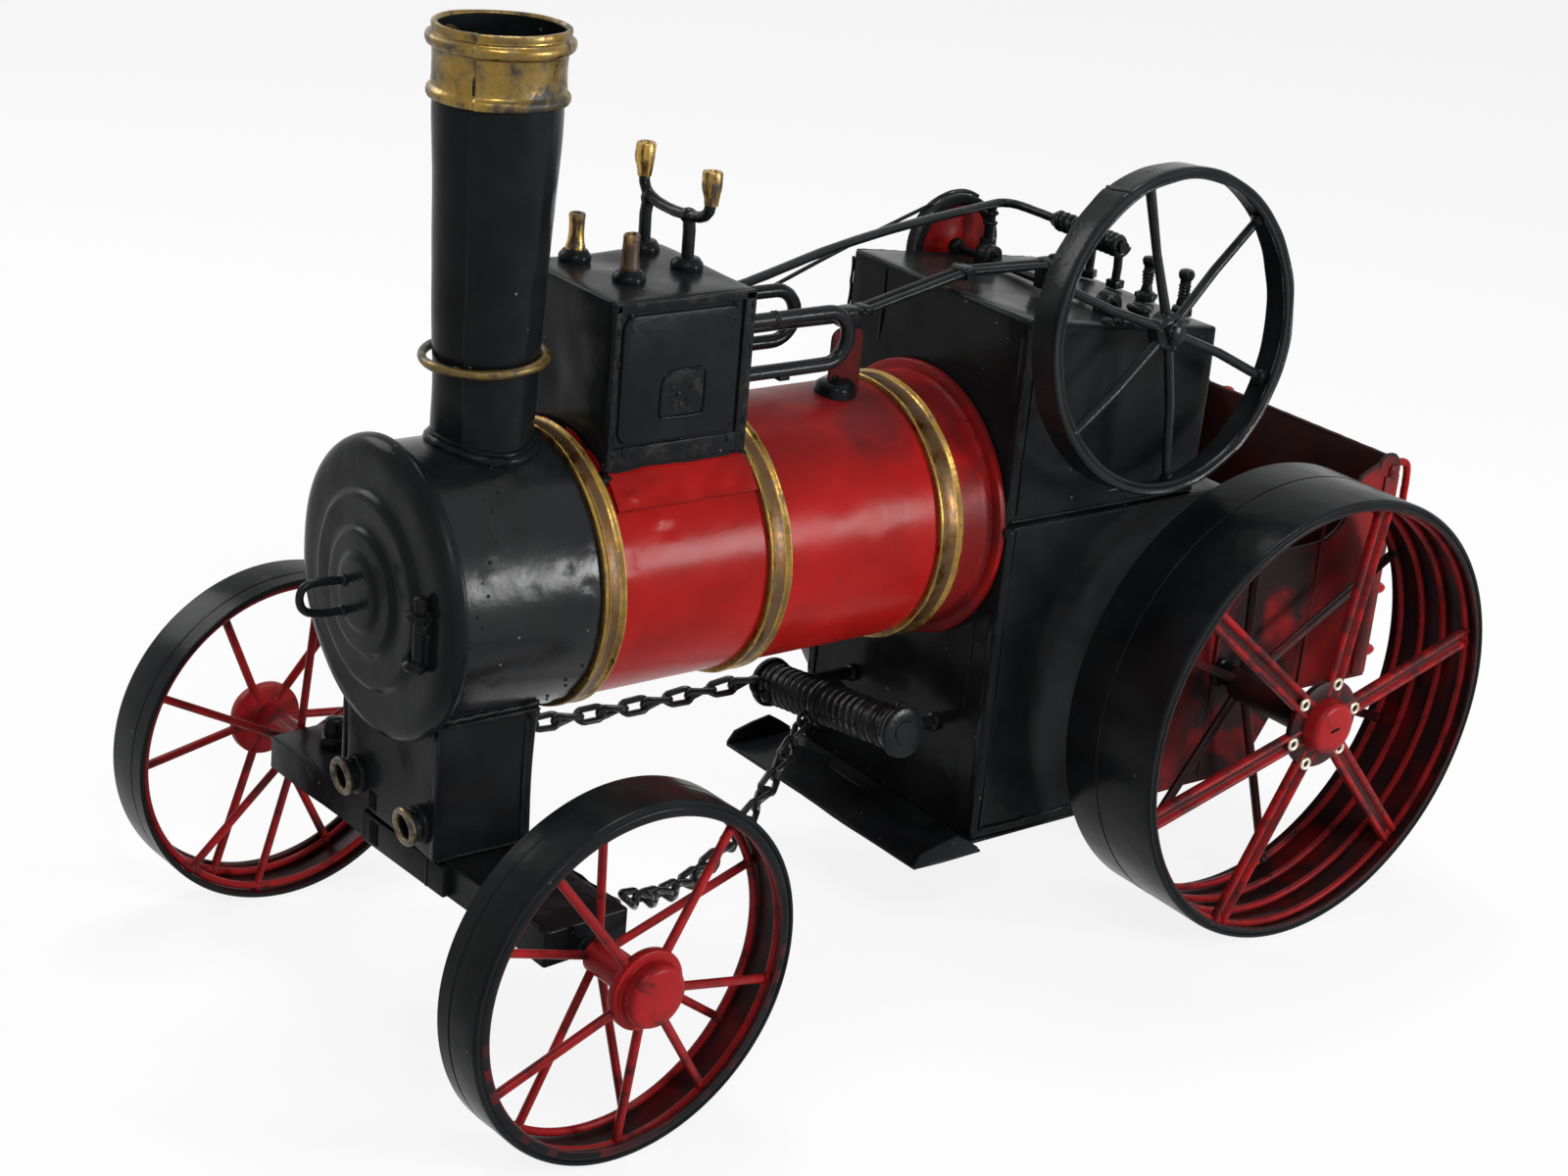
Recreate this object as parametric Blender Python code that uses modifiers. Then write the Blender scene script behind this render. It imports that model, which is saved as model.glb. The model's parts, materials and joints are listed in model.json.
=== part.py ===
"""Decorative tin model of a steam traction engine.

Metres, +Z up, the smokebox faces -Y, origin on the floor in the middle of the model.
"""
import math

import bmesh
import bpy
from mathutils import Matrix, Vector

MODEL_NAME = "tin_traction_engine"
GAP = 0.0003            # air between pieces that touch on the real model
SHEET = 0.0010          # tin sheet of the large boxes

# Wheels and axles
REAR_WHEEL_RADIUS = 0.0600
REAR_WHEEL_WIDTH = 0.0308
REAR_WHEEL_FACE_X = 0.0736
REAR_AXLE_Y = 0.0975
REAR_AXLE_RADIUS = 0.0030
FRONT_WHEEL_RADIUS = 0.0425
FRONT_WHEEL_WIDTH = 0.0140
FRONT_WHEEL_FACE_X = 0.0770
FRONT_AXLE_Y = -0.1167
FRONT_AXLE_RADIUS = 0.0020
STEER_AT_REST = math.radians(3.7)
RIM_SHEET = 0.0012
RIM_LIP = 0.0038
RING_WIRE_RADIUS = 0.0009
HUB_CLEARANCE = 0.0003
WHEEL_STEPS = 48         # sides of the large round shapes
RING_STEPS = 30          # sides of the wire rings inside the rims

# Boiler, smokebox and chimney
BOILER_Z = 0.1086
BARREL_RADIUS = 0.0318
SMOKEBOX_FRONT_Y = -0.1352
SMOKEBOX_RING_RADIUS = 0.0343
SMOKEBOX_RING_DEPTH = 0.0030
BARREL_REAR_Y = 0.0164
FLANGE_INSET = 0.0006           # of the rear flange from the side of the body
FLANGE_DEPTH = 0.0020
BAND_WIDTHS = (0.0056, 0.0060, 0.0070)
BAND_THICKNESS = 0.0011
BAND_PLACES_Y = (-0.0945, -0.0496, 0.0009)
CHIMNEY_Y = -0.1106
CHIMNEY_WALL = 0.0008
CHIMNEY_STEPS = 28
CHIMNEY_TOP_Z = 0.2305
CHIMNEY_TOP_RADIUS = 0.0139
CHIMNEY_FOOT_RADIUS = 0.0114
CHIMNEY_COLLAR = 0.0016         # how far the weld collar at the foot stands out
CAP_HEIGHT = 0.0185
CAP_SHEET = 0.0004
CAP_LIP = 0.0012                # how far the big bead of the cap stands out
HOOP_HEIGHT = 0.0186            # above the top of the smokebox
HOOP_WIRE = 0.0010

# Steam chest
CHEST_HALF_WIDTH = 0.0189
CHEST_FRONT_Y = -0.0905
CHEST_REAR_Y = -0.0530
CHEST_TOP_Z = 0.1740
CHEST_NUT_HEIGHT = 0.0026
YOKE_HEIGHT = 0.0126            # of the wire yoke above the chest
GEAR_Z = 0.1724                 # from which the slides and rods are measured downwards
SLIDE_TUBE = 0.0017
SLIDE_REACH = 0.0290            # of the slide loops behind the chest
SLIDE_HEIGHT = 0.0125
ROD_X = 0.0020                  # middle plane of the piston rod and connecting rods
HEAD_REACH = 0.0405             # of the crosshead behind the chest

# Boxes behind the boiler
CAB_HALF_WIDTH = 0.0338
CAB_FRONT_Y = 0.0167
CAB_REAR_Y = 0.0799
CAB_TOP_FRONT_Z = 0.1632
CAB_TOP_REAR_Z = 0.1555
BODY_HALF_WIDTH = 0.0353
BODY_TOP_Z = 0.1120
BODY_BOTTOM_Z = 0.0280
BODY_REAR_Y = 0.0920
TENDER_FRONT_Y = 0.0785
TENDER_REAR_Y = 0.1555
TENDER_FLOOR_Z = 0.0480
TENDER_SIDE_TOP_Z = 0.0910
TENDER_CORNER_TOP_Z = 0.1130
REAR_LOOP_REACH = 0.0086
LOOP_INSET = 0.0018             # of the rear loops from the side of the body
TRAY_HALF_WIDTH = 0.0400
TRAY_REACH = 0.0220             # in front of the lower box

# Crankshaft, flywheel and belt pulley
CRANK_Y = 0.0515
CRANK_Z = CAB_TOP_FRONT_Z - 0.0028
CRANK_RADIUS = 0.0011
FLYWHEEL_X = 0.0439
FLYWHEEL_RADIUS = 0.0396
FLYWHEEL_WIDTH = 0.0084
FLYWHEEL_LEAN = math.radians(5.6)       # the hand-soldered wheel leans on its shaft
PULLEY_X = -0.0366
PULLEY_RADIUS = 0.0138

# Steering gear
KINGPIN_RADIUS = 0.0022
BEAM_HALF_LENGTH = 0.0570
BEAM_HALF_DEPTH = 0.0110
BEAM_BOTTOM_Z = 0.0405
BEAM_TOP_Z = 0.0488
PEDESTAL_SIDES_X = (-0.0222, 0.0200)
PEDESTAL_ENDS_Y = (-0.1300, -0.1050)
EYE_PLACES = ((0.0142, 0.0565), (-0.0150, 0.0562))
PEDESTAL_BOTTOM_Z = 0.0494
DRUM_Y = -0.0023
DRUM_Z = 0.0535
DRUM_HALF_LENGTH = 0.0280
DRUM_RADIUS = 0.0060
DRUM_LEAN = math.radians(7.0)           # the near end stands higher

# Spoke directions in degrees, 0 to the rear and 90 upwards
NEAR_FRONT_OUTER = (126, 52, -16, -57, -92, -154)
NEAR_FRONT_INNER = (96, 21, -36, -80, -123, 160)
FAR_FRONT_OUTER = (114, 54, -6, -66, -114, -174)
FAR_FRONT_INNER = (153, 80, 20, -40, -103, -133)
REAR_OUTER = (140, 76, 13, -47, -114, -162)
REAR_INNER = (154, 96, 31, -20, -73, -129)
FLYWHEEL_SPOKES = (158, 103, 40, -24, -84, -142)

BLACK = ("black_enamel", (0.012, 0.013, 0.014), 0.38, 0.0)
RED = ("red_enamel", (0.36, 0.018, 0.020), 0.36, 0.0)
DARK_RED = ("wheel_red", (0.32, 0.014, 0.020), 0.42, 0.0)
BRASS = ("antique_brass", (0.34, 0.20, 0.055), 0.34, 0.9)
WIRE = ("black_wire", (0.016, 0.016, 0.017), 0.42, 0.0)

AXES = {
    "X": Matrix.Rotation(math.radians(90), 4, "Y"),
    "Y": Matrix.Rotation(math.radians(-90), 4, "X"),
    "Z": Matrix.Identity(4),
}


def clear_scene():
    for old in list(bpy.data.objects):
        bpy.data.objects.remove(old, do_unlink=True)


def make_collection(name):
    collection = bpy.data.collections.new(name)
    bpy.context.scene.collection.children.link(collection)
    return collection


def make_material(recipe):
    name, colour, roughness, metallic = recipe
    material = bpy.data.materials.get(name)
    if material is None:
        material = bpy.data.materials.new(name)
        material.use_nodes = True
        shader = material.node_tree.nodes["Principled BSDF"]
        shader.inputs["Base Color"].default_value = (*colour, 1.0)
        shader.inputs["Roughness"].default_value = roughness
        shader.inputs["Metallic"].default_value = metallic
    return material


def add_mesh(name, mesh):
    piece = bpy.data.objects.new(name, mesh)
    PARTS.objects.link(piece)
    return piece


def bake(piece):
    """Give the object the mesh that its modifiers make."""
    depsgraph = bpy.context.evaluated_depsgraph_get()
    mesh = bpy.data.meshes.new_from_object(piece.evaluated_get(depsgraph))
    if piece.type == "CURVE":
        solid = add_mesh(piece.name, mesh)
        solid.matrix_world = piece.matrix_world.copy()
        name = piece.name
        bpy.data.objects.remove(piece, do_unlink=True)
        solid.name = name
        weld(solid, 0.00001)
        return solid
    piece.modifiers.clear()
    piece.data = mesh
    return piece


def weld(piece, distance):
    shape = bmesh.new()
    shape.from_mesh(piece.data)
    bmesh.ops.remove_doubles(shape, verts=shape.verts, dist=distance)
    bmesh.ops.recalc_face_normals(shape, faces=shape.faces)
    shape.to_mesh(piece.data)
    shape.free()


def paint(piece, recipe, smooth=True):
    """Set the material and the shading of a finished piece."""
    piece.data.materials.clear()
    piece.data.materials.append(make_material(recipe))
    if smooth:
        piece.data.shade_smooth()
        piece.data.set_sharp_from_angle(angle=math.radians(40))
    return piece


def box(name, size, centre, bevel=0.0):
    shape = bmesh.new()
    bmesh.ops.create_cube(shape, size=1.0)
    bmesh.ops.scale(shape, vec=size, verts=shape.verts)
    mesh = bpy.data.meshes.new(name)
    shape.to_mesh(mesh)
    shape.free()
    piece = add_mesh(name, mesh)
    piece.location = centre
    if bevel > 0.0:
        rounding = piece.modifiers.new("edges", "BEVEL")
        rounding.width = bevel
        rounding.segments = 2
    return piece


def rod(name, start, end, radius, sides=16):
    """A plain cylinder from one point to another."""
    start = Vector(start)
    end = Vector(end)
    shape = bmesh.new()
    bmesh.ops.create_cone(shape, cap_ends=True, segments=sides, radius1=radius, radius2=radius,
                          depth=(end - start).length)
    turn = (end - start).to_track_quat("Z", "Y").to_matrix().to_4x4()
    bmesh.ops.transform(shape, matrix=Matrix.Translation((start + end) / 2) @ turn, verts=shape.verts)
    mesh = bpy.data.meshes.new(name)
    shape.to_mesh(mesh)
    shape.free()
    return add_mesh(name, mesh)


def turned(name, profile, centre, axis="Z", steps=48, closed=False):
    """A turned shape. The profile is (radius, place on the axis), outer side from top to bottom."""
    mesh = bpy.data.meshes.new(name)
    points = [(radius, 0.0, place) for radius, place in profile]
    edges = [(i, i + 1) for i in range(len(points) - 1)]
    if closed:
        edges.append((len(points) - 1, 0))
    mesh.from_pydata(points, edges, [])
    piece = add_mesh(name, mesh)
    screw = piece.modifiers.new("turn", "SCREW")
    screw.axis = "Z"
    screw.steps = steps
    screw.render_steps = steps
    screw.use_merge_vertices = True
    screw.merge_threshold = 0.00002
    piece = bake(piece)
    piece.data.transform(Matrix.Translation(centre) @ AXES[axis])
    return piece


def wire(name, points, radius, cyclic=False, resolution=2, ends=True):
    """A bent wire through the points."""
    curve = bpy.data.curves.new(name, "CURVE")
    curve.dimensions = "3D"
    curve.bevel_depth = radius
    curve.bevel_resolution = resolution
    curve.use_fill_caps = ends and not cyclic
    spline = curve.splines.new("POLY")
    spline.points.add(len(points) - 1)
    for knot, place in zip(spline.points, points):
        knot.co = (*place, 1.0)
    spline.use_cyclic_u = cyclic
    piece = bpy.data.objects.new(name, curve)
    PARTS.objects.link(piece)
    return bake(piece)


def arc(centre, radius, start, end, count, plane="YZ"):
    """Points along an arc, angles in degrees, in one of the main planes."""
    points = []
    for i in range(count + 1):
        angle = math.radians(start + (end - start) * i / count)
        across = radius * math.cos(angle)
        up = radius * math.sin(angle)
        offset = {"YZ": (0, across, up), "XY": (across, up, 0), "XZ": (across, 0, up)}[plane]
        points.append(tuple(centre[k] + offset[k] for k in range(3)))
    return points


def plate(name, outline, thickness, x_middle):
    """A flat sheet from an outline of (y, z) points, standing in the YZ plane."""
    curve = bpy.data.curves.new(name, "CURVE")
    curve.dimensions = "2D"
    curve.fill_mode = "BOTH"
    curve.extrude = thickness / 2
    spline = curve.splines.new("POLY")
    spline.points.add(len(outline) - 1)
    for knot, place in zip(spline.points, outline):
        knot.co = (place[0], place[1], 0.0, 1.0)
    spline.use_cyclic_u = True
    piece = bpy.data.objects.new(name, curve)
    PARTS.objects.link(piece)
    piece = bake(piece)
    upright = Matrix(((0, 0, 1, x_middle), (1, 0, 0, 0), (0, 1, 0, 0), (0, 0, 0, 1)))
    piece.data.transform(upright)
    return piece


def combine(base, others, operation="UNION"):
    """Join the others to the base, or cut them out of it, and remove them."""
    for other in others:
        step = base.modifiers.new("solid", "BOOLEAN")
        step.operation = operation
        step.solver = "EXACT"
        step.object = other
    base = bake(base)
    for other in others:
        bpy.data.objects.remove(other, do_unlink=True)
    return base


def merge_loose(name, pieces):
    """Put shapes that don't touch each other into one mesh, for one Boolean step."""
    shape = bmesh.new()
    for piece in pieces:
        place = piece.matrix_world.copy()
        first = len(shape.verts)
        shape.from_mesh(piece.data)
        shape.verts.ensure_lookup_table()
        bmesh.ops.transform(shape, matrix=place, verts=shape.verts[first:])
    mesh = bpy.data.meshes.new(name)
    shape.to_mesh(mesh)
    shape.free()
    for piece in pieces:
        bpy.data.objects.remove(piece, do_unlink=True)
    return add_mesh(name, mesh)


def wheel_rim(name, radius, width, outward):
    """The tread band with its folded lip on the outer face."""
    half = width / 2
    inside = radius - RIM_SHEET
    profile = [(radius, half), (radius, -half), (inside, -half), (inside, half - RIM_SHEET),
               (radius - RIM_LIP, half - RIM_SHEET), (radius - RIM_LIP, half)]
    if outward < 0:
        profile = [(distance, -place) for distance, place in reversed(profile)]
    return turned(name, profile, (0, 0, 0), "X", WHEEL_STEPS, closed=True)


def ring(name, radius, wire_radius, place_x):
    """A round wire ring lying inside a rim."""
    section = [(radius + wire_radius, place_x), (radius - wire_radius, place_x - wire_radius),
               (radius - wire_radius, place_x + wire_radius)]
    return turned(name, section, (0, 0, 0), "X", RING_STEPS, closed=True)


def radial(angle, radius, x):
    turn = math.radians(angle)
    return (x, radius * math.cos(turn), radius * math.sin(turn))


def front_wheel(side, name, outer_angles, inner_angles):
    """Rim and spokes of a front wheel, in the axle's own frame, hub axis along X."""
    half = FRONT_WHEEL_WIDTH / 2
    rim = wheel_rim(name + "_rim", FRONT_WHEEL_RADIUS, FRONT_WHEEL_WIDTH, side)
    ring_radius = FRONT_WHEEL_RADIUS - RIM_SHEET - GAP - RING_WIRE_RADIUS
    outer_x = side * (half - RIM_SHEET - GAP - RING_WIRE_RADIUS - 0.0006)
    inner_x = -side * (half - 0.0025)
    flange_x = side * (half + 0.0012)
    cap_x = side * (half + 0.0064)
    inner_hub_x = -side * (half + 0.0020)
    rings = merge_loose("rings", [ring("ring_a", ring_radius, RING_WIRE_RADIUS, outer_x),
                                  ring("ring_b", ring_radius, RING_WIRE_RADIUS, inner_x)])
    spokes = [rod("spoke", radial(a, 0.0030, flange_x), radial(a, ring_radius, outer_x), 0.0011, 6)
              for a in outer_angles]
    spokes += [rod("spoke", radial(a, 0.0030, inner_hub_x + side * 0.001),
                   radial(a, ring_radius, inner_x), 0.0010, 6) for a in inner_angles]
    bore = FRONT_AXLE_RADIUS + HUB_CLEARANCE
    hub_profile = [(0.0001, cap_x), (0.0064, cap_x), (0.0074, cap_x - side * 0.0010),
                   (0.0074, flange_x + side * 0.0012), (0.0094, flange_x + side * 0.0012),
                   (0.0094, flange_x - side * 0.0012), (0.0040, flange_x - side * 0.0012),
                   (0.0040, inner_hub_x), (bore, inner_hub_x), (bore, cap_x - side * 0.0025),
                   (0.0001, cap_x - side * 0.0025)]
    hub_profile = [(0.0 if radius < 0.0002 else radius, place) for radius, place in hub_profile]
    if side < 0:
        hub_profile.reverse()
    hub = turned("hub", hub_profile, (0, 0, 0), "X", 16)
    wheel = combine(hub, spokes + [rings])
    wheel.name = name + "_spokes"
    paint(rim, BLACK)
    paint(wheel, DARK_RED)
    return [rim, wheel]


def rear_wheel(side, name):
    """Rim, spokes and hub cap of a rear wheel, hub axis along X."""
    half = REAR_WHEEL_WIDTH / 2
    rim = wheel_rim(name + "_rim", REAR_WHEEL_RADIUS, REAR_WHEEL_WIDTH, side)
    ring_radius = REAR_WHEEL_RADIUS - RIM_SHEET - GAP - RING_WIRE_RADIUS
    outer_x = side * (half - 0.0040)
    inner_x = -side * (half - 0.0040)
    flange_x = side * (half - 0.0012)
    cap_x = side * (half + 0.0042)
    inner_hub_x = -side * (half - 0.0010)
    rings = merge_loose("rings", [ring("ring_a", ring_radius, RING_WIRE_RADIUS, outer_x),
                                  ring("ring_b", ring_radius, RING_WIRE_RADIUS, inner_x)])
    spokes = []
    length = ring_radius - 0.0070
    lean = math.atan2(outer_x - flange_x, ring_radius)
    ridge = 0.0008
    section = [(-0.0027, -ridge), (0.0027, -ridge), (0.0027, ridge), (0.0018, 2 * ridge), (0.0009, ridge),
               (-0.0009, ridge), (-0.0018, 2 * ridge), (-0.0027, ridge)]
    for angle in REAR_OUTER:
        strip = plate("spoke", section, length, 0.0)
        face = Matrix(((0, 0, side, 0), (1, 0, 0, 0), (0, 1, 0, 0), (0, 0, 0, 1)))
        place = (Matrix.Rotation(math.radians(angle), 4, "X")
                 @ Matrix.Translation((flange_x + (outer_x - flange_x) * 0.57, 0.0070 + length / 2, 0))
                 @ Matrix.Rotation(-lean, 4, "Z") @ face)
        strip.data.transform(place)
        spokes.append(strip)
    spokes += [rod("spoke", radial(a, 0.0044, inner_hub_x + side * 0.0015),
                   radial(a, ring_radius, inner_x), 0.0012, 6) for a in REAR_INNER]
    bore = REAR_AXLE_RADIUS + HUB_CLEARANCE
    hub_profile = [(0.0, cap_x), (0.0060, cap_x), (0.0073, cap_x - side * 0.0012),
                   (0.0073, flange_x + side * 0.0012), (0.0130, flange_x + side * 0.0010),
                   (0.0130, flange_x - side * 0.0008), (0.0050, flange_x - side * 0.0012),
                   (0.0050, inner_hub_x), (bore, inner_hub_x), (bore, cap_x - side * 0.0020),
                   (0.0, cap_x - side * 0.0020)]
    if side < 0:
        hub_profile.reverse()
    hub = turned("hub", hub_profile, (0, 0, 0), "X", 16)
    wheel = combine(hub, spokes + [rings])
    wheel.name = name + "_spokes"
    paint(rim, BLACK)
    paint(wheel, DARK_RED)
    return [rim, wheel]


def place_on(pieces, pivot):
    """Carry pieces on a pivot empty. They are modelled in the pivot's own frame."""
    for piece in pieces:
        piece.parent = pivot


def make_pivot(name, place, turn=0.0, parent=None):
    pivot = bpy.data.objects.new(name, None)
    PARTS.objects.link(pivot)
    pivot.location = place
    pivot.rotation_euler = (0.0, 0.0, turn)
    pivot.parent = parent
    return pivot


def make_front_axle():
    steer = make_pivot("front_axle_pivot", (0, FRONT_AXLE_Y, 0), STEER_AT_REST)
    height = BEAM_TOP_Z - BEAM_BOTTOM_Z
    middle_z = (BEAM_TOP_Z + BEAM_BOTTOM_Z) / 2
    beam = box("front_axle_beam", (2 * BEAM_HALF_LENGTH, 2 * BEAM_HALF_DEPTH, height), (0, 0, middle_z))
    hollow = box("hollow", (2 * BEAM_HALF_LENGTH - 2 * SHEET, 2 * BEAM_HALF_DEPTH - 2 * SHEET, height),
                 (0, 0, middle_z - SHEET))
    pin_hole = rod("hole", (0, 0, BEAM_BOTTOM_Z - 0.001), (0, 0, BEAM_TOP_Z + 0.001),
                   KINGPIN_RADIUS + HUB_CLEARANCE, 16)
    beam = combine(beam, [hollow, pin_hole], "DIFFERENCE")
    cap_inside = FRONT_WHEEL_FACE_X + 0.0064 - 0.0025 - GAP
    stubs = []
    for side in (1, -1):
        stubs.append(rod("stub", (side * (BEAM_HALF_LENGTH - 0.0060), 0, FRONT_WHEEL_RADIUS),
                         (side * cap_inside, 0, FRONT_WHEEL_RADIUS), FRONT_AXLE_RADIUS, 16))
    bolt = turned("bolt", [(0.0, 0.0560), (0.0022, 0.0560), (0.0026, 0.0552), (0.0026, 0.0515),
                           (0.0036, 0.0512), (0.0036, 0.0480), (0.0, 0.0480)],
                  (-0.0446, -0.0007, 0), "Z", 12)
    eyes = []
    for side in (1, -1):
        eyes.append(turned("eye", [(0.0030, 0.0006), (0.0030, -0.0006), (0.0016, -0.0006),
                                   (0.0016, 0.0006)],
                           (side * 0.0470, BEAM_HALF_DEPTH + 0.0024, 0.0445), "Z", 12, closed=True))
    face = box("face", (0.0340, 0.0024, 0.0074), (0.0040, -BEAM_HALF_DEPTH - 0.0008, BEAM_TOP_Z - 0.0041))
    notch = box("notch", (0.0036, 0.0040, 0.0060), (-0.0075, -BEAM_HALF_DEPTH - 0.0022, middle_z))
    face = combine(face, [notch], "DIFFERENCE")
    beam = combine(beam, stubs + [bolt, face] + eyes)
    paint(beam, BLACK)
    place_on([beam], steer)
    wheels = (("front_wheel_near", 1, NEAR_FRONT_OUTER, NEAR_FRONT_INNER),
              ("front_wheel_far", -1, FAR_FRONT_OUTER, FAR_FRONT_INNER))
    for name, side, outer_angles, inner_angles in wheels:
        centre_x = side * (FRONT_WHEEL_FACE_X - FRONT_WHEEL_WIDTH / 2)
        pivot = make_pivot(name + "_pivot", (centre_x, 0, FRONT_WHEEL_RADIUS), 0.0, steer)
        place_on(front_wheel(side, name, outer_angles, inner_angles), pivot)


def make_rear_axle():
    reach = REAR_WHEEL_FACE_X + 0.0042 - 0.0020 - GAP
    far_end = (-reach, REAR_AXLE_Y, REAR_WHEEL_RADIUS)
    near_end = (reach, REAR_AXLE_Y, REAR_WHEEL_RADIUS)
    axle = rod("rear_axle", far_end, near_end, REAR_AXLE_RADIUS, 20)
    paint(axle, BLACK)
    for name, side in (("rear_wheel_near", 1), ("rear_wheel_far", -1)):
        centre_x = side * (REAR_WHEEL_FACE_X - REAR_WHEEL_WIDTH / 2)
        pivot = make_pivot(name + "_pivot", (centre_x, REAR_AXLE_Y, REAR_WHEEL_RADIUS))
        place_on(rear_wheel(side, name), pivot)


def make_smokebox():
    front = SMOKEBOX_FRONT_Y
    back = BAND_PLACES_Y[0]
    ring_back = front + SMOKEBOX_RING_DEPTH
    profile = [(0.0, front), (SMOKEBOX_RING_RADIUS - 0.0012, front), (SMOKEBOX_RING_RADIUS, front + 0.0010),
               (SMOKEBOX_RING_RADIUS, ring_back - 0.0006), (BARREL_RADIUS, ring_back),
               (BARREL_RADIUS, back), (0.0, back)]
    profile.reverse()
    shell = turned("smokebox", profile, (0, 0, BOILER_Z), "Y", WHEEL_STEPS)
    paint(shell, BLACK)
    lid_front = [(0.0300, 0.0), (0.0296, 0.0010), (0.0224, 0.0012), (0.0218, 0.0024), (0.0146, 0.0026),
                 (0.0140, 0.0037), (0.0088, 0.0038), (0.0082, 0.0050), (0.0, 0.0052)]
    profile = [(0.0, front - GAP)] + [(radius, front - GAP - height) for radius, height in lid_front]
    door = turned("smokebox_door", profile, (0, 0, BOILER_Z), "Y", 36)
    paint(door, BLACK)
    return shell, door


def make_door_fittings():
    face = SMOKEBOX_FRONT_Y - GAP - 0.0052
    handle_x = -0.0050
    upper = BOILER_Z + 0.0012
    lower = BOILER_Z - 0.0058
    middle = (upper + lower) / 2
    bend = (upper - lower) / 2
    reach = face - 0.0062
    points = [(handle_x, face - GAP, upper), (handle_x, reach, upper)]
    points += arc((handle_x, reach, middle), bend, 90, 270, 8)[1:-1]
    points += [(handle_x, reach, lower), (handle_x, face - GAP, lower)]
    handle = wire("door_handle", points, 0.0008)
    paint(handle, WIRE)
    hinge_x = 0.0245
    hinge_y = SMOKEBOX_FRONT_Y - GAP - 0.0013 - GAP
    middle = (hinge_x, hinge_y - 0.0011, BOILER_Z + 0.0010)
    bar = box("door_hinge", (0.0034, 0.0022, 0.0180), middle, 0.0003)
    bar = bake(bar)
    bar.data.transform(Matrix.Translation(bar.location))
    bar.location = (0, 0, 0)
    nuts = [turned("nut", [(0.0, 0.0012), (0.0020, 0.0012), (0.0020, -0.0016), (0.0, -0.0016)],
                   (hinge_x - 0.0030, hinge_y - 0.0026, BOILER_Z + height), "Y", 6)
            for height in (0.0050, -0.0075)]
    bar = combine(bar, nuts)
    paint(bar, BLACK)


def chimney_radius(z):
    """Outer radius of the sheet: a slow flare that opens towards the mouth."""
    foot = BOILER_Z + BARREL_RADIUS
    share = min(1.0, max(0.0, (z - foot) / (CHIMNEY_TOP_Z - CAP_HEIGHT - foot)))
    return CHIMNEY_FOOT_RADIUS + (CHIMNEY_TOP_RADIUS - CHIMNEY_FOOT_RADIUS) * share ** 1.4


def make_chimney():
    wall = CHIMNEY_WALL
    foot = BOILER_Z + BARREL_RADIUS
    sunk = foot - 0.32 * BARREL_RADIUS
    cap_low = CHIMNEY_TOP_Z - CAP_HEIGHT
    hoop_z = foot + HOOP_HEIGHT
    middle = (hoop_z + cap_low) / 2
    collar = CHIMNEY_FOOT_RADIUS + CHIMNEY_COLLAR
    levels = (cap_low, middle, hoop_z, foot + 0.0005)
    outer = [(CHIMNEY_TOP_RADIUS, CHIMNEY_TOP_Z)] + [(chimney_radius(z), z) for z in levels]
    outer += [(collar - CHIMNEY_COLLAR / 3, foot - 0.0034), (collar, foot - 0.0076), (collar, sunk)]
    inner = [(CHIMNEY_FOOT_RADIUS - wall, sunk)] + [(chimney_radius(z) - wall, z) for z in reversed(levels)]
    inner += [(CHIMNEY_TOP_RADIUS - wall, CHIMNEY_TOP_Z)]
    stack = turned("chimney", outer + inner, (0, CHIMNEY_Y, 0), "Z", CHIMNEY_STEPS, closed=True)
    belly = rod("belly", (0, SMOKEBOX_FRONT_Y, BOILER_Z), (0, BAND_PLACES_Y[0], BOILER_Z),
                BARREL_RADIUS + GAP, 112)
    stack = combine(stack, [belly], "DIFFERENCE")
    paint(stack, BLACK)
    bore = CHIMNEY_TOP_RADIUS + GAP
    band = bore + CAP_SHEET
    lip = band + CAP_LIP
    rim_top = CHIMNEY_TOP_Z + 2 * GAP
    cap_profile = [(band, rim_top), (band, rim_top - 0.0018), (lip, rim_top - 0.0030),
                   (lip, rim_top - 0.0064), (band, rim_top - 0.0074), (band, cap_low + 0.0020),
                   (band + CAP_SHEET, cap_low), (bore, cap_low), (bore, CHIMNEY_TOP_Z + GAP),
                   (CHIMNEY_TOP_RADIUS - wall, CHIMNEY_TOP_Z + GAP), (CHIMNEY_TOP_RADIUS - wall, rim_top)]
    cap = turned("chimney_cap", cap_profile, (0, CHIMNEY_Y, 0), "Z", CHIMNEY_STEPS, closed=True)
    paint(cap, BRASS)
    hoop_radius = chimney_radius(hoop_z + HOOP_WIRE) + GAP + HOOP_WIRE
    section = [(hoop_radius, hoop_z + HOOP_WIRE), (hoop_radius + HOOP_WIRE, hoop_z),
               (hoop_radius, hoop_z - HOOP_WIRE), (hoop_radius - HOOP_WIRE, hoop_z)]
    hoop = turned("chimney_hoop", section, (0, CHIMNEY_Y, 0), "Z", CHIMNEY_STEPS, closed=True)
    paint(hoop, BRASS)


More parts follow.
